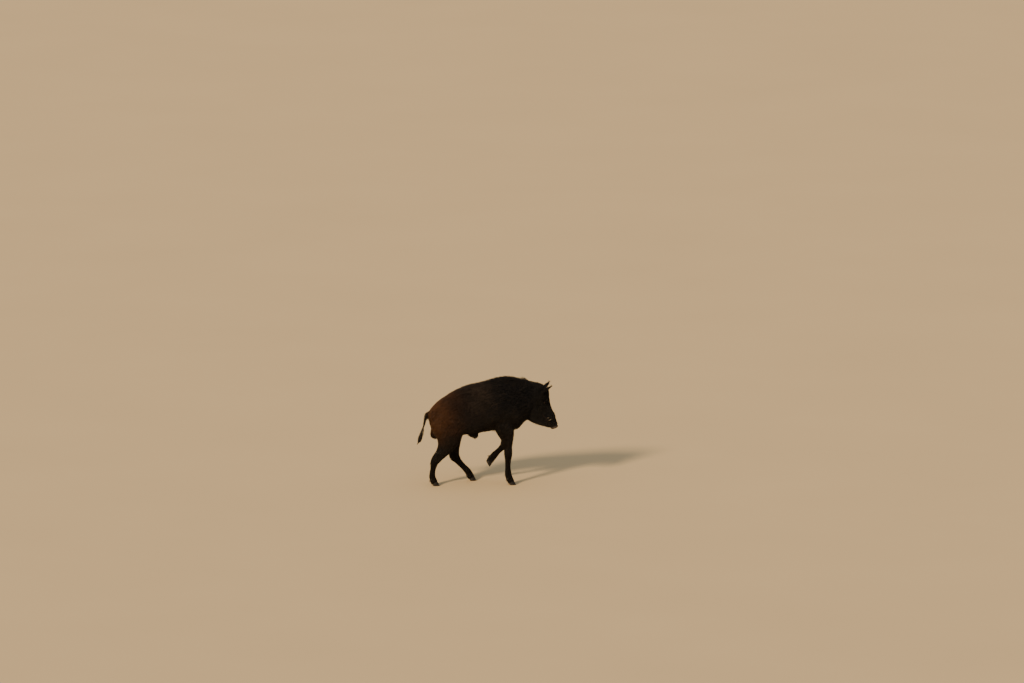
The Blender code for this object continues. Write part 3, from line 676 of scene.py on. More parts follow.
# the muzzle: disc, nostrils, folds, lips and the flanges over the tusks
muzzlePlan = {
    "discFront": 0.006,
    "discTall": 0.031,
    "rim": 0.0010,
    "rimRound": 0.004,
    "dish": 0.0016,
    "pinch": -0.0030,  # how far the skin goes in behind the disc
    "nostrilSide": 0.0145,
    "nostrilUp": 0.003,
    "nostrilDeep": 0.013,
    "nostrilWide": 0.0058,
    "nostrilTall": 0.0084,
    "nostrilLean": 0.28,
    "nostrilLip": 0.0012,
    "groove": 0.0012,
    "mouthCorner": (0.250, 0.088),
    "mouthFront": (0.395, 0.064),
    "mouthWave": 0.0028,
    "mouthDip": 0.0085,
    # height across the mouth line, with its centre and reach: the line, the upper and the lower lip
    "mouth": ((-0.0052, 0, 0.0020), (0.0024, -0.0066, 0.0046), (0.0012, 0.0062, 0.0040)),
    "foldPitch": 0.0078,
    "foldHeight": 0.0009,
    # waves of the folds: height, pitch across, turn and pitch along
    "foldWaver": ((0.0026, 95, 0, 0), (0.0017, 230, 1, 0), (0.0012, 410, 0, 300)),
    "lineHalf": 0.0042,  # bare edge of the lips to each side of the mouth line
    "flange": {"tusk_lower_right": 0.0052, "tusk_upper_right": 0.0050},  # the lip's swell over a tusk's root
    # height, then centre and reach along the face and down from the brow
    "cheekbone": (0.0050, (0.165, 0.030), (0.075, 0.013)),
    "cheekHollow": (-0.0040, (0.235, 0.030), (0.048, 0.014)),
}


def mouthGap(along, depth):
    # how far below the mouth line, and how far along it
    cornerAlong, cornerDepth = muzzlePlan["mouthCorner"]
    frontAlong, frontDepth = muzzlePlan["mouthFront"]
    share = (along - cornerAlong) / (frontAlong - cornerAlong)
    held = np.clip(share, -0.2, 1.2)
    line = cornerDepth + (frontDepth - cornerDepth) * held
    line += muzzlePlan["mouthWave"] * np.sin(held * math.pi * 1.6)
    line -= muzzlePlan["mouthDip"] * bump(held, 0.34, 0.17)
    return depth - line, share


def tuskRoot(name):
    # where on the face a tusk comes out: the end of it nearest the head's middle
    spots, _ = arraysOf(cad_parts[name].data)
    inward = np.abs(spots[:, 1])
    along, depth, _ = headPlaces(spots[inward < inward.min() + 0.35 * np.ptp(inward)])
    return along.mean(), depth.mean()


def nostrilReach(side, depth, hand):
    # under 1 inside the comma-shaped nostril of one hand
    down = depth - discDepth + muzzlePlan["nostrilUp"]
    lean = (side - hand * muzzlePlan["nostrilSide"]) * hand + muzzlePlan["nostrilLean"] * down
    return np.hypot(lean / muzzlePlan["nostrilWide"], down / muzzlePlan["nostrilTall"])


def sculptMuzzle(points, normals, kinds):
    onHead = isKind(kinds, "head", "snout") * 1.0
    along, depth, side = headPlaces(points)
    low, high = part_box("snout_disc")
    front = discAlong + muzzlePlan["discFront"]
    rho = np.hypot(side / ((high[1] - low[1]) / 2), (depth - discDepth) / muzzlePlan["discTall"])
    # the disc's face is nearly flat, with a full rim and a shallow middle
    onFace = rise(0.25, 0.65, normals @ faceWay) * rise(discAlong - 0.012, discAlong - 0.004, along)
    plane = front - muzzlePlan["dish"] * bump(rho, 0.35, 0.45)
    plane -= muzzlePlan["rimRound"] * rise(0.80, 1.08, rho)
    plane += muzzlePlan["rim"] * bump(rho, 0.80, 0.12)
    move = (plane - along) * onFace
    # two comma-shaped nostrils and the fine groove between them
    for hand in (-1, 1):
        hole = nostrilReach(side, depth, hand)
        move -= muzzlePlan["nostrilDeep"] * rise(1.07, 0.50, hole) * onFace
        move += muzzlePlan["nostrilLip"] * bump(hole, 1.45, 0.30) * onFace
    move -= muzzlePlan["groove"] * bump(side, 0, 0.0012) * rise(0.0, 0.012, depth - discDepth) * onFace
    points += faceWay * (move * onHead)[:, None]
    # its side is one smooth oval, a little narrower at the front
    along, depth, side = headPlaces(points)
    wall = rise(discAlong - 0.010, discAlong - 0.004, along) * (1 - onFace) * onHead
    target = 1.0 - 0.05 * rise(front - 0.006, front - 0.001, along)
    push = (target / np.maximum(rho, 0.3) - 1) * wall * rise(0.5, 0.8, rho)
    radial = sideWay * side[:, None] - browWay * (depth - discDepth)[:, None]
    points += radial * push[:, None]
    # behind the disc the skin pinches in, then folds over the bridge and down the sides
    along, depth, side = headPlaces(points)
    off = muzzlePlan["pinch"] * bump(along, discAlong - 0.0115, 0.0036) * (1 - onFace)
    bridge = rise(0.285, 0.345, along) * rise(0.386, 0.376, along)
    waver = sum(
        height * np.sin(side * across + turn + along * down)
        for height, across, turn, down in muzzlePlan["foldWaver"]
    )
    folds = np.sin((along + waver + 0.10 * depth) * 2 * math.pi / muzzlePlan["foldPitch"])
    off += muzzlePlan["foldHeight"] * folds * bridge * rise(0.062, 0.040, depth)
    gap, share = mouthGap(along, depth)
    reach = rise(-0.06, 0.06, share) * rise(0.397, 0.389, along)
    for height, middle, width in muzzlePlan["mouth"]:
        off += height * bump(gap, middle, width) * reach
    for name, height in muzzlePlan["flange"].items():
        rootAlong, rootDepth = tuskRoot(name)
        off += hill((height, (rootAlong, 0.0105), (rootDepth + 0.001, 0.0085)), along, depth)
    off += hill(muzzlePlan["cheekbone"], along, depth)
    off += hill(muzzlePlan["cheekHollow"], along, depth)
    points += normals * (off * onHead)[:, None]
    return points


def thicknessOf(points, normals, tree, start=0.002):
    # how far it is through the flesh from each point
    found = np.ones(len(points))
    for index, (place, inward) in enumerate(zip((points - normals * start).tolist(), (-normals).tolist())):
        reach = tree.ray_cast(place, inward)[3]
        if reach is not None:
            found[index] = reach + start
    return found


def buildSkin():
    flesh = gatherFlesh()
    mesh = joinedSkin(flesh[1], flesh[2])
    coarse, corners = arraysOf(mesh)
    coarseSizes, coarseLie, coarseKinds = coarseFields(coarse, corners, flesh)
    tree = treeOf(coarse, corners)
    points, triangles = refineMesh(mesh)
    edges = edgesOf(triangles)
    spots, picked = nearest(tree, points)
    weights = shares(coarse, corners, picked, spots)
    kinds = coarseKinds[corners[picked, weights.argmax(1)]]
    sizes, lie = (sample(values, corners, picked, weights) for values in (coarseSizes, coarseLie))
    softNormals = unit(evenOut(normalsOf(points, triangles), edges, skinPlan["normalBlend"]))
    sizes = refineSizes(points, softNormals, kinds, sizes)
    deepest = skinPlan["deepest"] * thicknessOf(points, softNormals, tree)
    depth = evenOut(np.minimum(sizes[:, :1], deepest[:, None]), edges, skinPlan["depthBlend"])
    points = evenOut(points - softNormals * depth, edges, 3, skinPlan["refined"])
    normals = normalsOf(points, triangles)
    eyes = eyeFrames(points, normals)
    points = sculptMuzzle(points, unit(evenOut(normals, edges, skinPlan["sculptBlend"])), kinds)
    points = sculptEyes(points, normalsOf(points, triangles), eyes)
    softNormals = unit(evenOut(normalsOf(points, triangles), edges, skinPlan["sculptBlend"]))
    lie = unit(lie - softNormals * (lie * softNormals).sum(1)[:, None])
    sizes[:, :1] = depth
    print("skin", len(points), "points", len(triangles), "triangles")
    return {
        "points": points, "triangles": triangles, "normals": softNormals, "sizes": sizes,
        "lie": lie, "kinds": kinds, "eyes": eyes, "tree": treeOf(points, triangles),
    }


# markings of the skin and coat, one set of colours for both, with painted low sunlight over the rump and
# painted shade in the nostrils
coatPaint = {
    "base": "#131113",  # black-brown
    "back": "#0c0d12",  # colder black on the shoulder and crest
    "rump": "#5a3b24",  # golden brown over the haunch: partly the hair's own tone, partly painted low sunlight
    "flank": "#181113",
    "grizzle": "#473d36",
    "belly": "#17100d",
    "face": "#0e0e12",
    "muzzle": "#191719",
    "legs": "#120d0c",
    "disc": "#352c2a",
    "lips": "#2c2524",
    # near-black: painted shade inside the nostril holes
    "nostril": "#060505",
    "ear": "#121012",
    "tail": "#19120e",
}
paints = {name: paint(code) for name, code in coatPaint.items()}


def lipShare(points, kinds):
    # 1 on the bare edges of the lips, to both sides of the mouth line
    along, depth, _ = headPlaces(points)
    gap, share = mouthGap(along, depth)
    edge = isKind(kinds, "head", "snout") * bump(gap, 0, muzzlePlan["lineHalf"])
    return edge * rise(-0.08, 0.05, share) * rise(0.397, 0.389, along)


def markings(points, kinds):
    x, y, z = points.T
    along, depth, side = headPlaces(points)
    head = isKind(kinds, "head", "snout")
    patchy = 0.5 + 0.5 * np.sin(x * 23 + 2.1 * np.sin(z * 17) + y * 9)
    # the insides of the nostrils, painted near-black as shade in the holes
    inside = sum(rise(1.15, 0.75, nostrilReach(side, depth, hand)) for hand in (-1, 1))
    colours = np.tile(paints["base"], (len(points), 1))
    for name, share in (
        ("flank", rise(0.10, -0.15, x) * rise(0.45, 0.62, z) * (0.55 + 0.3 * patchy)),
        # the rump's golden brown is partly the hair's own tone and partly painted low sunlight, on both sides
        ("rump", rise(-0.10, -0.48, x) * rise(0.31, 0.50, z) * (0.60 + 0.34 * patchy)),
        ("grizzle", 0.40 * (bump(x, -0.035, 0.10) * bump(z, 0.77, 0.09)) * (0.5 + 0.5 * patchy)),
        ("back", rise(0.02, 0.20, x) * rise(0.55, 0.75, z) * 0.85),
        ("belly", rise(0.53, 0.44, z) * rise(-0.40, -0.30, x) * 0.9),
        ("belly", thinShare(points) * 0.9),
        ("legs", rise(0.42, 0.26, z) * isKind(kinds, "upper", "lower")),
        ("face", head * rise(0.04, 0.12, along)),
        ("muzzle", head * rise(0.27, 0.36, along) * 0.9),
        ("disc", head * rise(0.3835, 0.3925, along)),
        ("nostril", head * inside * rise(0.375, 0.383, along)),
        ("lips", 0.9 * lipShare(points, kinds)),
        ("ear", isKind(kinds, "ear")),
        ("tail", isKind(kinds, "tail", "tailTuft")),
    ):
        colours = blended(colours, paints[name], share)
    return colours


hidePlan = {
    "shade": 0.36,  # the hide sits in the shade of its coat, and shows its own tone where it is bare
    "hairLong": 0.009,
    "hairWide": 0.0010,
    "discGrain": 0.0022,  # the bare disc has round grains about 2 mm across and no hair
    "headRound": (0.070, 0.085),  # depth of the head's middle line and its radius
    "bodyRound": (0.65, 0.18),  # height of the body's middle line and its radius
}


def hideShade(points, kinds):
    disc = isKind(kinds, "head", "snout") * rise(0.375, 0.388, headPlaces(points)[0])
    bare = np.maximum(disc, lipShare(points, kinds))
    return (hidePlan["shade"] + (1 - hidePlan["shade"]) * bare)[:, None]


def hairPattern(points, kinds):
    # distances along and across the hair, in hair lengths and widths, for the relief
    along, depth, side = headPlaces(points)
    x, y, z = points.T
    (headDeep, headWide), (bodyHigh, bodyWide) = hidePlan["headRound"], hidePlan["bodyRound"]
    length, around = x, np.arctan2(y, z - bodyHigh) * bodyWide
    head, limb = isKind(kinds, "head", "snout", "ear"), isKind(kinds, "lower", "upper", "tail", "tailTuft")
    for mine, run, turn in ((head, along, np.arctan2(side, headDeep - depth) * headWide), (limb, z, y + x)):
        length, around = np.where(mine, run, length), np.where(mine, turn, around)
    bare = rise(0.380, 0.390, along) * isKind(kinds, "head", "snout")
    hairs = np.column_stack([length / hidePlan["hairLong"], around / hidePlan["hairWide"], kinds * 7.0])
    return np.where(bare[:, None] > 0.5, points / hidePlan["discGrain"], hairs)


def showSkin(skin):
    points, kinds = skin["points"], skin["kinds"]
    mesh = triangleMesh("skin", points, skin["triangles"], markings(points, kinds) * hideShade(points, kinds))
    lie = mesh.attributes.new("hairLie", "FLOAT_VECTOR", "POINT")
    lie.data.foreach_set("vector", hairPattern(points, kinds).astype(np.float32).ravel())
    showPiece("skin", mesh, buildFinish("hideUnderShortHair"), fleshNodes)


# tufts: closed three-sided spikes that start in the skin and follow its shape
def tuftPattern(rings):
    # triangles of one tuft and, for each corner, its place in the tuft's own small patch
    faces, patch, full = [], [], rings + 0.5
    for ring in range(rings):
        low, high = (ring + 0.5) / full, (ring + 1.5) / full
        for side in range(3):
            a, b = ring * 3 + side, ring * 3 + (side + 1) % 3
            left, right = side / 3, (side + 1) / 3
            if ring < rings - 1:
                faces += [(a, b, b + 3), (a, b + 3, a + 3)]
                patch += [(left, low), (right, low), (right, high), (left, low), (right, high), (left, high)]
            else:
                faces.append((a, b, rings * 3))
                patch += [(left, low), (right, low), ((side + 0.5) / 3, 1)]
    faces.append((2, 1, 0))
    patch += [(0.1, 0.0), (0.9, 0.0), (0.5, 0.45 / full)]
    return np.array(faces), np.array(patch)


def scatter(skin, weight, count):
    # roots spread evenly by area times weight
    flat = facesOf(skin["points"], skin["triangles"])
    area = np.linalg.norm(flat, axis=1) * weight[skin["triangles"]].mean(1)
    total = np.cumsum(area)
    picks = (np.arange(count) + dice.random(count)) / count * total[-1]
    picked = np.minimum(np.searchsorted(total, picks), len(area) - 1)
    first, second = np.sqrt(dice.random(count)), dice.random(count)
    return picked, np.column_stack([1 - first, first * (1 - second), first * second])


# one sort of tuft: how many, in how many rings, and what differs from the plain tuft
plainTuft = {
    "long": 1,  # times the coat's own length
    "length": None,  # or one length for all, in metres
    "wide": 1,
    "lift": 1,  # height of the tips, times the coat's depth
    "rise": 1.6,  # how soon the tuft rises
    "stray": 0.35,  # how far it turns off the coat's lie
    "stand": 0,  # how far it stands up at its root
    "walk": True,  # follows the skin, or keeps straight on
    "clump": None,  # how many share a tip, and how strongly
    "sunk": 0.0015,
    "wave": 0.10,
    "ground": 0.002,  # the hooves' fringe stays off the floor
    "pale": 1,  # times the share of pale tips
    # least share of the length, width and depth, and how far chance adds to it
    "spread": ((0.70, 0.55), (0.75, 0.5), (0.72, 0.43)),
    "leave": (0.45, 0.9),  # how far off the skin, in strides, a hair leaves it
}
coatPlan = {
    "body": {"count": 45500, "rings": 3, "stray": 0.40, "rise": 1.5, "lift": 1.25, "clump": (11, 0.62)},
    "short": {
        "count": 60000, "rings": 2, "stray": 0.45, "rise": 1.3, "lift": 1.2, "long": 1.25, "wide": 0.85,
        "walk": False, "pale": 0.3,
    },
    "mane": {
        "count": 7000, "rings": 4, "stray": 0.50, "rise": 1.25, "lift": 1.20, "wide": 0.85, "walk": False,
        "clump": (9, 0.55),
    },
    "whiskers": {
        "count": 190, "rings": 4, "stray": 1.1, "length": 0.034, "wide": 0.42, "stand": 0.75, "walk": False,
    },
    "lashes": {
        "count": 150, "rings": 3, "stray": 0.5, "length": 0.0105, "wide": 0.55, "stand": 1.3, "walk": False,
    },
}


def growTufts(skin, picked, weights, plan):
    # centre lines walk over the skin along its lie, rising to the coat's depth
    count, rings, triangles = len(picked), plan["rings"], skin["triangles"]
    roots, normal, way, size = (
        sample(skin[name], triangles, picked, weights) for name in ("points", "normals", "lie", "sizes")
    )
    normal, way = unit(normal), unit(way)
    depth, length, width = size.T
    chance = dice.random((count, 6))
    length = np.full(count, plan["length"]) if plan["length"] else length * plan["long"]
    longer, wider, deeper = (least + more * luck for (least, more), luck in zip(plan["spread"], chance.T))
    length = length * longer
    width = width * plan["wide"] * wider
    lift = depth * plan["lift"] * deeper
    turn = ((chance[:, 3] - 0.5) * plan["stray"])[:, None]
    way = unit(way + np.cross(normal, way) * turn + normal * plan["stand"])
    steps = np.linspace(0, 1, rings + 1)
    centres, normals = np.empty((2, count, rings + 1, 3))
    centres[:, 0] = roots - normal * np.minimum(plan["sunk"], 0.5 * width)[:, None]
    normals[:, 0] = normal
    ground = roots
    for ring in range(1, rings + 1):
        stride = (steps[ring] - steps[ring - 1]) * length
        ahead = ground + way * stride[:, None]
        if plan["walk"]:
            spots, faces = nearest(skin["tree"], ahead)
            places = shares(skin["points"], triangles, faces, spots)
            normal = unit(sample(skin["normals"], triangles, faces, places))
            fresh = unit(sample(skin["lie"], triangles, faces, places))
            # a hair that would leave an edge of the body keeps straight on
            leaving = rise(*plan["leave"], apart(spots, ahead) / stride)
            ahead = blended(spots, ahead, leaving)
            fresh = unit(fresh + np.cross(normal, fresh) * turn)
            way = unit(way * 0.5 + fresh * 0.5)
        ground = ahead
        height = lift * (1 - (1 - steps[ring]) ** plan["rise"])
        centres[:, ring] = ground + normal * height[:, None]
        normals[:, ring] = normal
    if plan["clump"]:
        clumpTufts(centres, length, *plan["clump"])
    wave = (chance[:, 4] - 0.5) * length * plan["wave"]
    side = unit(np.cross(centres[:, -1] - centres[:, 0], normals[:, 0]))
    for ring in range(1, rings + 1):
        centres[:, ring] += side * (wave * math.sin(steps[ring] * 2.6))[:, None]
    centres[..., 2] = np.maximum(centres[..., 2], plan["ground"])
    return {
        "roots": roots, "centres": centres, "normals": normals, "width": width, "tone": chance[:, 5],
        "kinds": skin["kinds"][triangles[picked, weights.argmax(1)]],
    }


def clumpTufts(centres, length, each, pull):
    # tufts near one another lean to a shared tip, as coarse hair does
    leaders = np.arange(0, len(centres), each)
    tree = KDTree(len(leaders))
    for place, root in enumerate(centres[leaders, 0]):
        tree.insert(root, place)
    tree.balance()
    leader = leaders[[tree.find(root)[1] for root in centres[:, 0]]]
    gap = apart(centres[leader, 0], centres[:, 0])
    pull = pull * rise(0.9, 0.3, gap / length) * (0.5 + 0.5 * dice.random(len(centres)))
    rings = centres.shape[1] - 1
    shared = centres[leader] - centres
    for ring in range(1, rings + 1):
        centres[:, ring] += shared[:, ring] * (pull * (ring / rings) ** 1.4)[:, None]


# a tuft's shape and tone, and its small patch of the map
tuftPlan = {
    "rootWide": 0.85,
    "taper": 0.25,
    "high": 0.42,  # height of its ridge over its width
    "tone": (0.55, 0.95, 1.3),  # darkest tuft, how far chance lightens it, and the power of that chance
    "run": (0.55, 0.55),  # tone at the root, darkened as painted shade deep in the coat, and how far it rises to the tip
    "paleFrom": 0.35,
    "paleTone": 1.6,
}
patchPlan = {"size": 0.003, "cuts": 14, "edge": 0.002}


def tuftMesh(name, tufts, spots):
    # the mesh of these tufts, with their markings, their painted light and shade, and their patch map
    centres, normals, width = tufts["centres"], tufts["normals"], tufts["width"]
    count, rings = len(centres), centres.shape[1] - 1
    corners = np.empty((count, rings * 3 + 1, 3))
    for ring in range(rings):
        run = unit(centres[:, ring + 1] - centres[:, max(ring - 1, 0)])
        side = unit(np.cross(run, normals[:, ring]))
        up = unit(np.cross(side, run))
        taper = (1 - tuftPlan["taper"] * ring / rings) if ring else tuftPlan["rootWide"]
        half = side * (width * 0.5 * taper)[:, None]
        corners[:, ring * 3] = centres[:, ring] - half
        corners[:, ring * 3 + 1] = centres[:, ring] + half
        corners[:, ring * 3 + 2] = centres[:, ring] + up * (width * tuftPlan["high"] * taper)[:, None]
    corners[:, -1] = centres[:, -1]
    faces, patch = tuftPattern(rings)
    allFaces = (faces[None] + (np.arange(count) * (rings * 3 + 1))[:, None, None]).reshape(-1, 3)
    # colour from root to tip: a root darkened as painted shade deep in the coat, the coat's own tone, now and
    # then a pale tip
    (darkest, lighter, power), (rootInCoatShade, more) = tuftPlan["tone"], tuftPlan["run"]
    tone = darkest + lighter * tufts["tone"] ** power
    run = np.concatenate([np.repeat(np.arange(rings) / rings, 3), [1.0]])
    painted = markings(tufts["roots"], tufts["kinds"])[:, None, :] * tone[:, None, None]
    painted = painted * (rootInCoatShade + more * run)[None, :, None]
    pale = (tufts["pale"][:, None] * rise(tuftPlan["paleFrom"], 1.0, run)[None])[..., None]
    painted = painted * (1 - pale) + paints["grizzle"] * pale * tuftPlan["paleTone"]
    mesh = triangleMesh(name, corners.reshape(-1, 3), allFaces, painted.reshape(-1, 3))
    places = spots[:, None, :] + (patch[None] - 0.5) * patchPlan["size"]
    mesh.uv_layers.new(name="OFBake").data.foreach_set("uv", places.reshape(-1).astype(np.float32))
    return mesh


def unroll(points, axis, guide):
    # length along a tube and angle round its own centre line
    axis = unit(axis)
    across = unit(np.cross(axis, sideWay))
    length, run = points @ axis, guide @ axis
    cuts = np.linspace(run.min(), run.max(), patchPlan["cuts"] + 1)
    slot = np.clip(np.digitize(run, cuts) - 1, 0, patchPlan["cuts"] - 1)
    held = np.unique(slot)
    middles = ((cuts[:-1] + cuts[1:]) / 2)[held]
    flat = []
    for direction in (across, np.cross(axis, across)):
        heights = guide @ direction
        centre = [(heights[slot == index].max() + heights[slot == index].min()) / 2 for index in held]
        flat.append(points @ direction - np.interp(length, middles, centre))
    return np.column_stack([length, np.arctan2(flat[1], flat[0])])


def patchPlaces(points, tubes, tube):
    # each tube of the skin unrolled into a band of the unit square
    spots = np.empty((len(points), 2))
    for index, (axis, guide) in enumerate(tubes):
        mine = tube == index
        if mine.any():
            flat = unroll(points[mine], axis, guide)
            share = (flat - flat.min(0)) / np.maximum(np.ptp(flat, axis=0), 1e-6)
            spots[mine, 0] = 0.004 + 0.992 * share[:, 0]
            spots[mine, 1] = (index + 0.01 + 0.98 * share[:, 1]) / len(tubes)
    return np.clip(spots, patchPlan["edge"], 1 - patchPlan["edge"])


# groups of flesh: their kinds, and the way that each is unrolled
coatGroups = {
    "body": (("trunk", "neck"), (1, 0, 0)),
    "limb": (("upper", "lower"), (0, 0, 1)),
    "tail": (("tail", "tailTuft"), (0, 0, 1)),
    "head": (("head", "snout"), tuple(faceWay)),
    "ear": (("ear",), (0.42, 0, 0.81)),
}
everywhere = tuple(coatGroups)
coatCuts = {"shoulder": 0.02, "haunch": -0.26, "legs": -0.08, "ends": 9}
# each coat piece: where it grows, its rear and front ends, and whether it comes as a left and a right one
coatPieces = {
    "body": (
        ("coatShoulder", ("body",), "shoulder", "ends", True),
        ("coatFlank", ("body",), "haunch", "shoulder", True),
        ("coatRump", ("body",), "", "haunch", False),
        ("coatForeleg", ("limb",), "legs", "ends", True),
        ("coatHindleg", ("limb",), "", "legs", True),
        ("coatTailTuft", ("tail",), "", "ends", False),
        ("coatCheeks", ("head", "ear"), "", "ends", False),
    ),
    "short": (
        ("shortForelegs", ("limb",), "legs", "ends", False),
        ("shortHindlegs", ("limb",), "", "legs", False),
        ("shortTail", ("tail", "body"), "", "ends", False),
        ("shortFace", ("head",), "", "ends", True),
        ("shortEars", ("ear",), "", "ends", False),
    ),
    "mane": (("mane", everywhere, "", "ends", False),),
    "whiskers": (("whiskers", everywhere, "", "ends", False),),
    "lashes": (("lashes", everywhere, "", "ends", False),),
}


def groupsOf(kinds):
    return {group: isKind(kinds, *names) for group, (names, _) in coatGroups.items()}


def showCoat(skin, tufts, material, pieces):
    x, y, _ = tufts["roots"].T
    own, guides = groupsOf(tufts["kinds"]), groupsOf(skin["kinds"])
    for name, groups, rear, front, split in pieces:
        span = (x >= coatCuts.get(rear, -coatCuts["ends"])) & (x < coatCuts[front])
        mine = np.any([own[group] for group in groups], axis=0) & span
        for hand, side in (("Left", y > 0), ("Right", y <= 0)) if split else (("", y == y),):
            chosen = np.flatnonzero(mine & side)
            if not len(chosen):
                continue
            group = next(group for group in coatGroups if own[group][chosen[0]])
            guide, axis = skin["points"][guides[group]], coatGroups[group][1]
            if group in ("limb", "ear"):
                legs = coatCuts["legs"]
                guide = guide[(guide[:, 0] < legs) == (x[chosen[0]] < legs)]
                tubes = [(axis, guide[guide[:, 1] > 0]), (axis, guide[guide[:, 1] <= 0])]
                tube = np.where(y[chosen] > 0, 0, 1)
            else:
                tubes, tube = [(axis, guide)], np.zeros(len(chosen), int)
            part = {key: values[chosen] for key, values in tufts.items()}
            mesh = tuftMesh(name + hand, part, patchPlaces(part["roots"], tubes, tube))
            showPiece(name + hand, mesh, material)
            print(name + hand, len(chosen), "tufts", len(mesh.polygons), "faces")


# where no hair grows, where the special hairs do, and how often a tip is pale
rootPlan = {
    "disc": (0.373, 0.386),
    "feet": (0.070, 0.055),
    "sole": (0.25, 0.55),
    "lids": (2.3, 1.7),
    "tusks": (0.011, 0.007),
    "lashRim": (1.75, 0.28),
    "browHairs": (2.5, (0.022, 0.004), (0, 0.012)),
    "maneHalf": 0.075,
    "short": (0.034, 0.026),  # lengths from the long coat to the short one
    "thickest": 3e-6,  # least area of skin for one root
    # chance of a pale tip: anywhere, over the upper flank, over the rump; and how pale it gets
    "pale": (0.05, 0.30, 0.12),
    "paleTip": (0.25, 0.5),
}


def aroundEye(eye, points):
    out = points - eye["centre"]
    return np.linalg.norm(out, axis=1) < eyePlan["near"], out @ eye["back"], out @ eye["up"]


def bareShare(skin):
    # 1 where no hair grows: the disc, the lids' edges, the mouth line, under the tusks and the feet
    points, normals = skin["points"], skin["normals"]
    along, depth, _ = headPlaces(points)
    head = isKind(skin["kinds"], "head", "snout")
    bare = rise(*rootPlan["disc"], along) * head
    for name in clawNodes:
        if name.endswith("_claw_left"):
            way = unit(middleOf(name) - middleOf(name.replace("claw_left", "lower")))
            near = rise(*rootPlan["feet"], apart(points, middleOf(name)))
            bare = np.maximum(bare, near * rise(*rootPlan["sole"], normals @ way))
    for eye in skin["eyes"]:
        near, back, up = aroundEye(eye, points)
        bare = np.maximum(bare, near * rise(*rootPlan["lids"], openingShare(back, up)))
    for name in tuskNodes:
        bare = np.maximum(bare, rise(*rootPlan["tusks"], apart(points, middleOf(name))))
    gap, share = mouthGap(along, depth)
    lips = head * (np.abs(gap) < muzzlePlan["lineHalf"]) * (share > -0.04) * (along < 0.40)
    return np.maximum(bare, lips)


def growCoat(skin):
    points, (_, lengths, widths) = skin["points"], skin["sizes"].T
    grown = 1 - bareShare(skin)
    isShort = rise(*rootPlan["short"], lengths)
    # the shorter and finer the hair, the closer the roots stand
    density = 1 / np.maximum(lengths * widths, rootPlan["thickest"])
    crest = crestShare(points, skin["normals"]) * (np.abs(points[:, 1]) < rootPlan["maneHalf"])
    along, depth, _ = headPlaces(points)
    muzzle = isKind(skin["kinds"], "head", "snout") * grown * rise(0.265, 0.30, along)
    whiskers, lashes = muzzle * (rise(0.030, 0.045, depth) + 0.15), np.zeros(len(points))
    for eye in skin["eyes"]:
        near, back, up = aroundEye(eye, points)
        lashes += near * (bump(openingShare(back, up), *rootPlan["lashRim"]) * rise(0.0005, 0.0030, up))
        whiskers += near * hill(rootPlan["browHairs"], up, back)
    weights = {
        "body": density * (1 - isShort) * grown, "short": density * isShort * grown,
        "mane": crest, "whiskers": whiskers, "lashes": lashes,
    }
    material = buildFinish("waxyBristle")
    for name, changes in coatPlan.items():
        plan = {**plainTuft, **changes}
        tufts = growTufts(skin, *scatter(skin, weights[name], plan["count"]), plan)
        x, _, z = tufts["roots"].T
        flank = bump(x, -0.04, 0.13) * bump(z, 0.76, 0.11)
        rump = rise(-0.25, -0.45, x) * rise(0.40, 0.60, z)
        (anywhere, onFlank, onRump), (least, more) = rootPlan["pale"], rootPlan["paleTip"]
        isPale = dice.random(len(x)) < anywhere + onFlank * flank + onRump * rump
        tufts["pale"] = isPale * (least + more * dice.random(len(x))) * plan["pale"]
        showCoat(skin, tufts, material, coatPieces[name])
    print("coat grown")


# from the pupil through the iris to the white, as shares of the ball's radius
irisStops = (
    (0.0, "#020202"), (0.30, "#030202"), (0.36, "#2a1509"), (0.56, "#1c0e07"),
    (0.66, "#080504"), (0.74, "#2b1a14"), (1.0, "#3a2620"),
)


def irisColours(tree, space):
    settings = {"operation": "MULTIPLY", 1: (1.0, 1.15, 0.0)}
    flat = addNode(tree, "ShaderNodeVectorMath", settings, {0: space})
    reach = addNode(tree, "ShaderNodeVectorMath", {"operation": "LENGTH"}, {0: flat.outputs[0]})
    span = {"From Min": 0.0, "From Max": eyePlan["ball"]}
    rings = addNode(tree, "ShaderNodeMapRange", span, {"Value": reach.outputs["Value"]})
    ramp = addNode(tree, "ShaderNodeValToRGB", links={"Fac": rings.outputs["Result"]})
    for index, (place, code) in enumerate(irisStops):
        stop = ramp.color_ramp.elements[index] if index < 2 else ramp.color_ramp.elements.new(place)
        stop.position = place
        stop.color = (*paint(code), 1)
    return ramp.outputs["Color"]


def buildEyes(skin):
    # a wet ball with a bulging cornea
    material = buildFinish("wetEye", irisColours)
    bulge, corneaReach = eyePlan["cornea"]
    for eye in skin["eyes"]:
        work = bmesh.new()
        bmesh.ops.create_uvsphere(work, u_segments=48, v_segments=32, radius=eyePlan["ball"])
        for vert in work.verts:
            if vert.co.z > 0:
                vert.co.z += bulge * float(rise(corneaReach, 0.0, math.hypot(vert.co.x, vert.co.y)))
        for face in work.faces:
            face.smooth = True
        mesh = bpy.data.meshes.new("eyeball" + eye["hand"])
        work.to_mesh(mesh)
        work.free()
        place = placing(eye["centre"], eye["back"], np.cross(eye["out"], eye["back"]), eye["out"])
        showPiece(mesh.name, mesh, material, [eye["name"]], place)
    print("eyes built")


# hooves and tusks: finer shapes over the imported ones, dark to pale
hardPlan = {
    "claw": {"voxel": 0.0016, "slot": "horn", "dark": "#0f0c0a", "pale": "#2a241e"},
    "tusk": {"voxel": 0.0007, "slot": "ivory", "dark": "#352d25", "pale": "#87806f"},
    "evenings": 5,
    "keep": (0.6, -0.61),
    "groovePitch": 0.0042,
    "grooveDepth": 0.00022,
    "topNarrow": 0.17,  # how much the wall narrows at its top, so that hair hangs over its edge
    "tipNarrow": 0.58,  # how much a dewclaw narrows to its tip
    "upperPale": 0.45,  # the upper tusks are stained further towards their tips
    "lowerPale": 0.85,
}


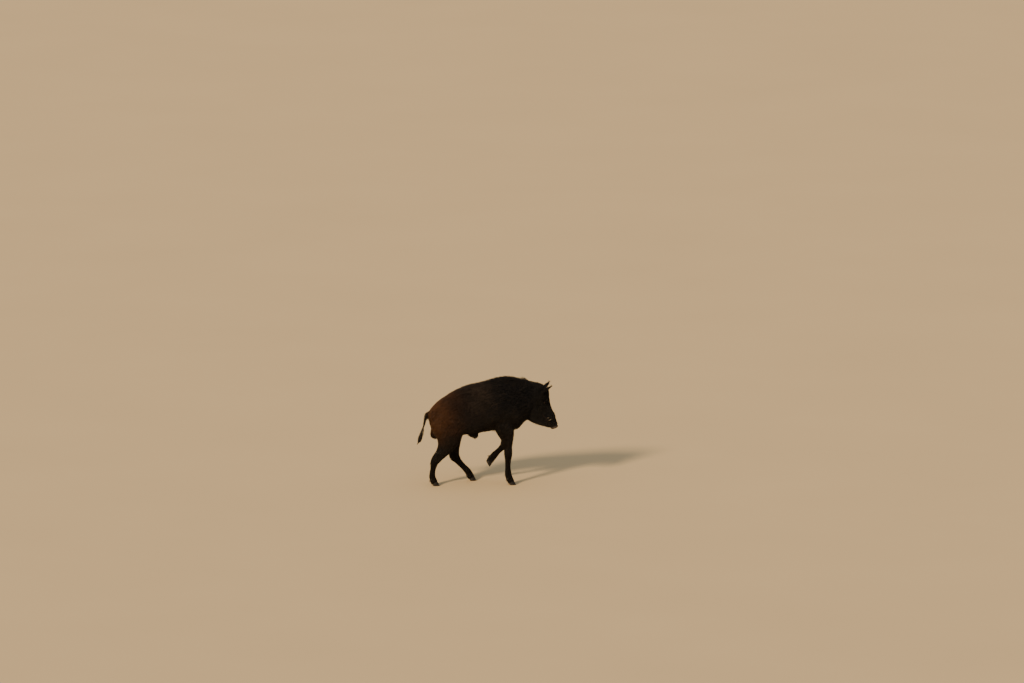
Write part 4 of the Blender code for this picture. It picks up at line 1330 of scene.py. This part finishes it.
def narrowed(points, node):
    # a hoof's wall goes in under the hair, and a dewclaw comes to a blunt point
    middle = points.mean(0)
    fromLeg = middle - middleOf(node.rsplit("_", 1)[0].replace("dewclaw", "lower").replace("claw", "lower"))
    if "dewclaw" in node:
        way = np.linalg.svd(points - middle, full_matrices=False)[2][0]
        way = way * np.sign(way @ fromLeg)
        span, most = (0.25, 1.0), hardPlan["tipNarrow"]
    else:
        way = unit(fromLeg * [1, 0, 1])
        span, most = (0.46, 0.06), hardPlan["topNarrow"]
    run = (points - middle) @ way
    across = points - middle - run[:, None] * way
    return points - across * (most * rise(*span, (run - run.min()) / np.ptp(run)))[:, None]


def hoofShape(points, triangles, node):
    # with its growth rings, and how pale it is: scuffed near the floor
    points = narrowed(points, node)
    normals = normalsOf(points, triangles)
    low, high = points[:, 2].min(), points[:, 2].max()
    rings = np.sin((points[:, 2] * 0.9 - points[:, 0] * 0.45) * 2 * math.pi / hardPlan["groovePitch"])
    wall = rise(0.5, 0.2, np.abs(normals[:, 2]))
    points = points + normals * (rings * wall * hardPlan["grooveDepth"])[:, None]
    return points, rise(0.30, 0.0, (points[:, 2] - low) / (high - low))


def tuskShape(points, triangles, node):
    # with how pale it is: stained at the lip, cream at the tip
    run = points @ browWay
    pale = hardPlan["upperPale"] if "upper" in node else hardPlan["lowerPale"]
    return points, rise(0.30, 1.0, (run - run.min()) / np.ptp(run)) * pale


def buildHardPieces():
    finishes = {"claw": (hoofShape, buildFinish("hoofHorn")), "tusk": (tuskShape, buildFinish("tuskIvory"))}
    for node in sorted(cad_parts):
        for word, (shape, material) in finishes.items():
            if word not in node:
                continue
            plan = hardPlan[word]
            mesh = voxelMesh(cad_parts[node].data.copy(), plan["voxel"], skinPlan["weld"])
            points, triangles = arraysOf(mesh)
            points = evenOut(points, edgesOf(triangles), hardPlan["evenings"], hardPlan["keep"])
            points, pale = shape(points, triangles, node)
            colours = blended(paint(plan["dark"]), paint(plan["pale"]), pale)
            mesh = triangleMesh(node + "_" + plan["slot"], points, triangles, colours)
            showPiece(mesh.name, mesh, material, [node])
    print("hooves and tusks built")


# the room: a wide pale floor, a low warm key from behind the rump, and an even fill
stagePlan = {
    "floor": "#dcc498",
    "floorReach": 300.0,
    "drift": 0.04,  # how far the floor's tone drifts over a metre or so
    "sky": "#e6e4df",
    "skyStrength": 0.55,
    "keyColour": "#ffdcae",
    "keyStrength": 4.2,
    "keySoft": 9.0,  # degrees across
    "keyAround": -128.0,  # degrees from ahead, towards the animal's right
    "keyAbove": 27.0,
}


def buildStage(plan):
    # plain matt board
    material, tree = emptyMaterial("paleFloor")
    space = addNode(tree, "ShaderNodeTexCoord").outputs["Object"]
    drift = addNode(tree, "ShaderNodeTexNoise", {"Scale": 0.6, "Detail": 3.0}, {"Vector": space})
    ramp = addNode(tree, "ShaderNodeValToRGB", links={"Fac": drift.outputs["Fac"]})
    for stop, tone in zip(ramp.color_ramp.elements, (1 - plan["drift"], 1 + plan["drift"])):
        stop.color = (*(paint(plan["floor"]) * tone), 1)
    closeMaterial(tree, {"Roughness": 0.85}, {"Base Color": ramp.outputs["Color"]})
    mesh = bpy.data.meshes.new("floor")
    reach = plan["floorReach"]
    corners = [(-reach, -reach, 0), (reach, -reach, 0), (reach, reach, 0), (-reach, reach, 0)]
    mesh.from_pydata(corners, [], [(0, 1, 2, 3)])
    mesh.materials.append(material)
    floor = showObject("floor", mesh)
    world = bpy.data.worlds.new("softRoom")
    world.use_nodes = True
    sky = world.node_tree.nodes["Background"].inputs
    sky["Color"].default_value = (*paint(plan["sky"]), 1)
    sky["Strength"].default_value = plan["skyStrength"]
    bpy.context.scene.world = world
    data = bpy.data.lights.new("lowKey", "SUN")
    data.energy = plan["keyStrength"]
    data.angle = math.radians(plan["keySoft"])
    data.color = paint(plan["keyColour"])
    around, above = math.radians(plan["keyAround"]), math.radians(plan["keyAbove"])
    level = math.cos(above)
    towards = Vector((math.cos(around) * level, math.sin(around) * level, math.sin(above)))
    showObject("lowKey", data).rotation_euler = towards.to_track_quat("Z", "Y").to_euler()
    print("stage lit")


buildCamera(cameraPlan)
buildStage(stagePlan)
skin = buildSkin()
showSkin(skin)
buildEyes(skin)
buildHardPieces()
growCoat(skin)
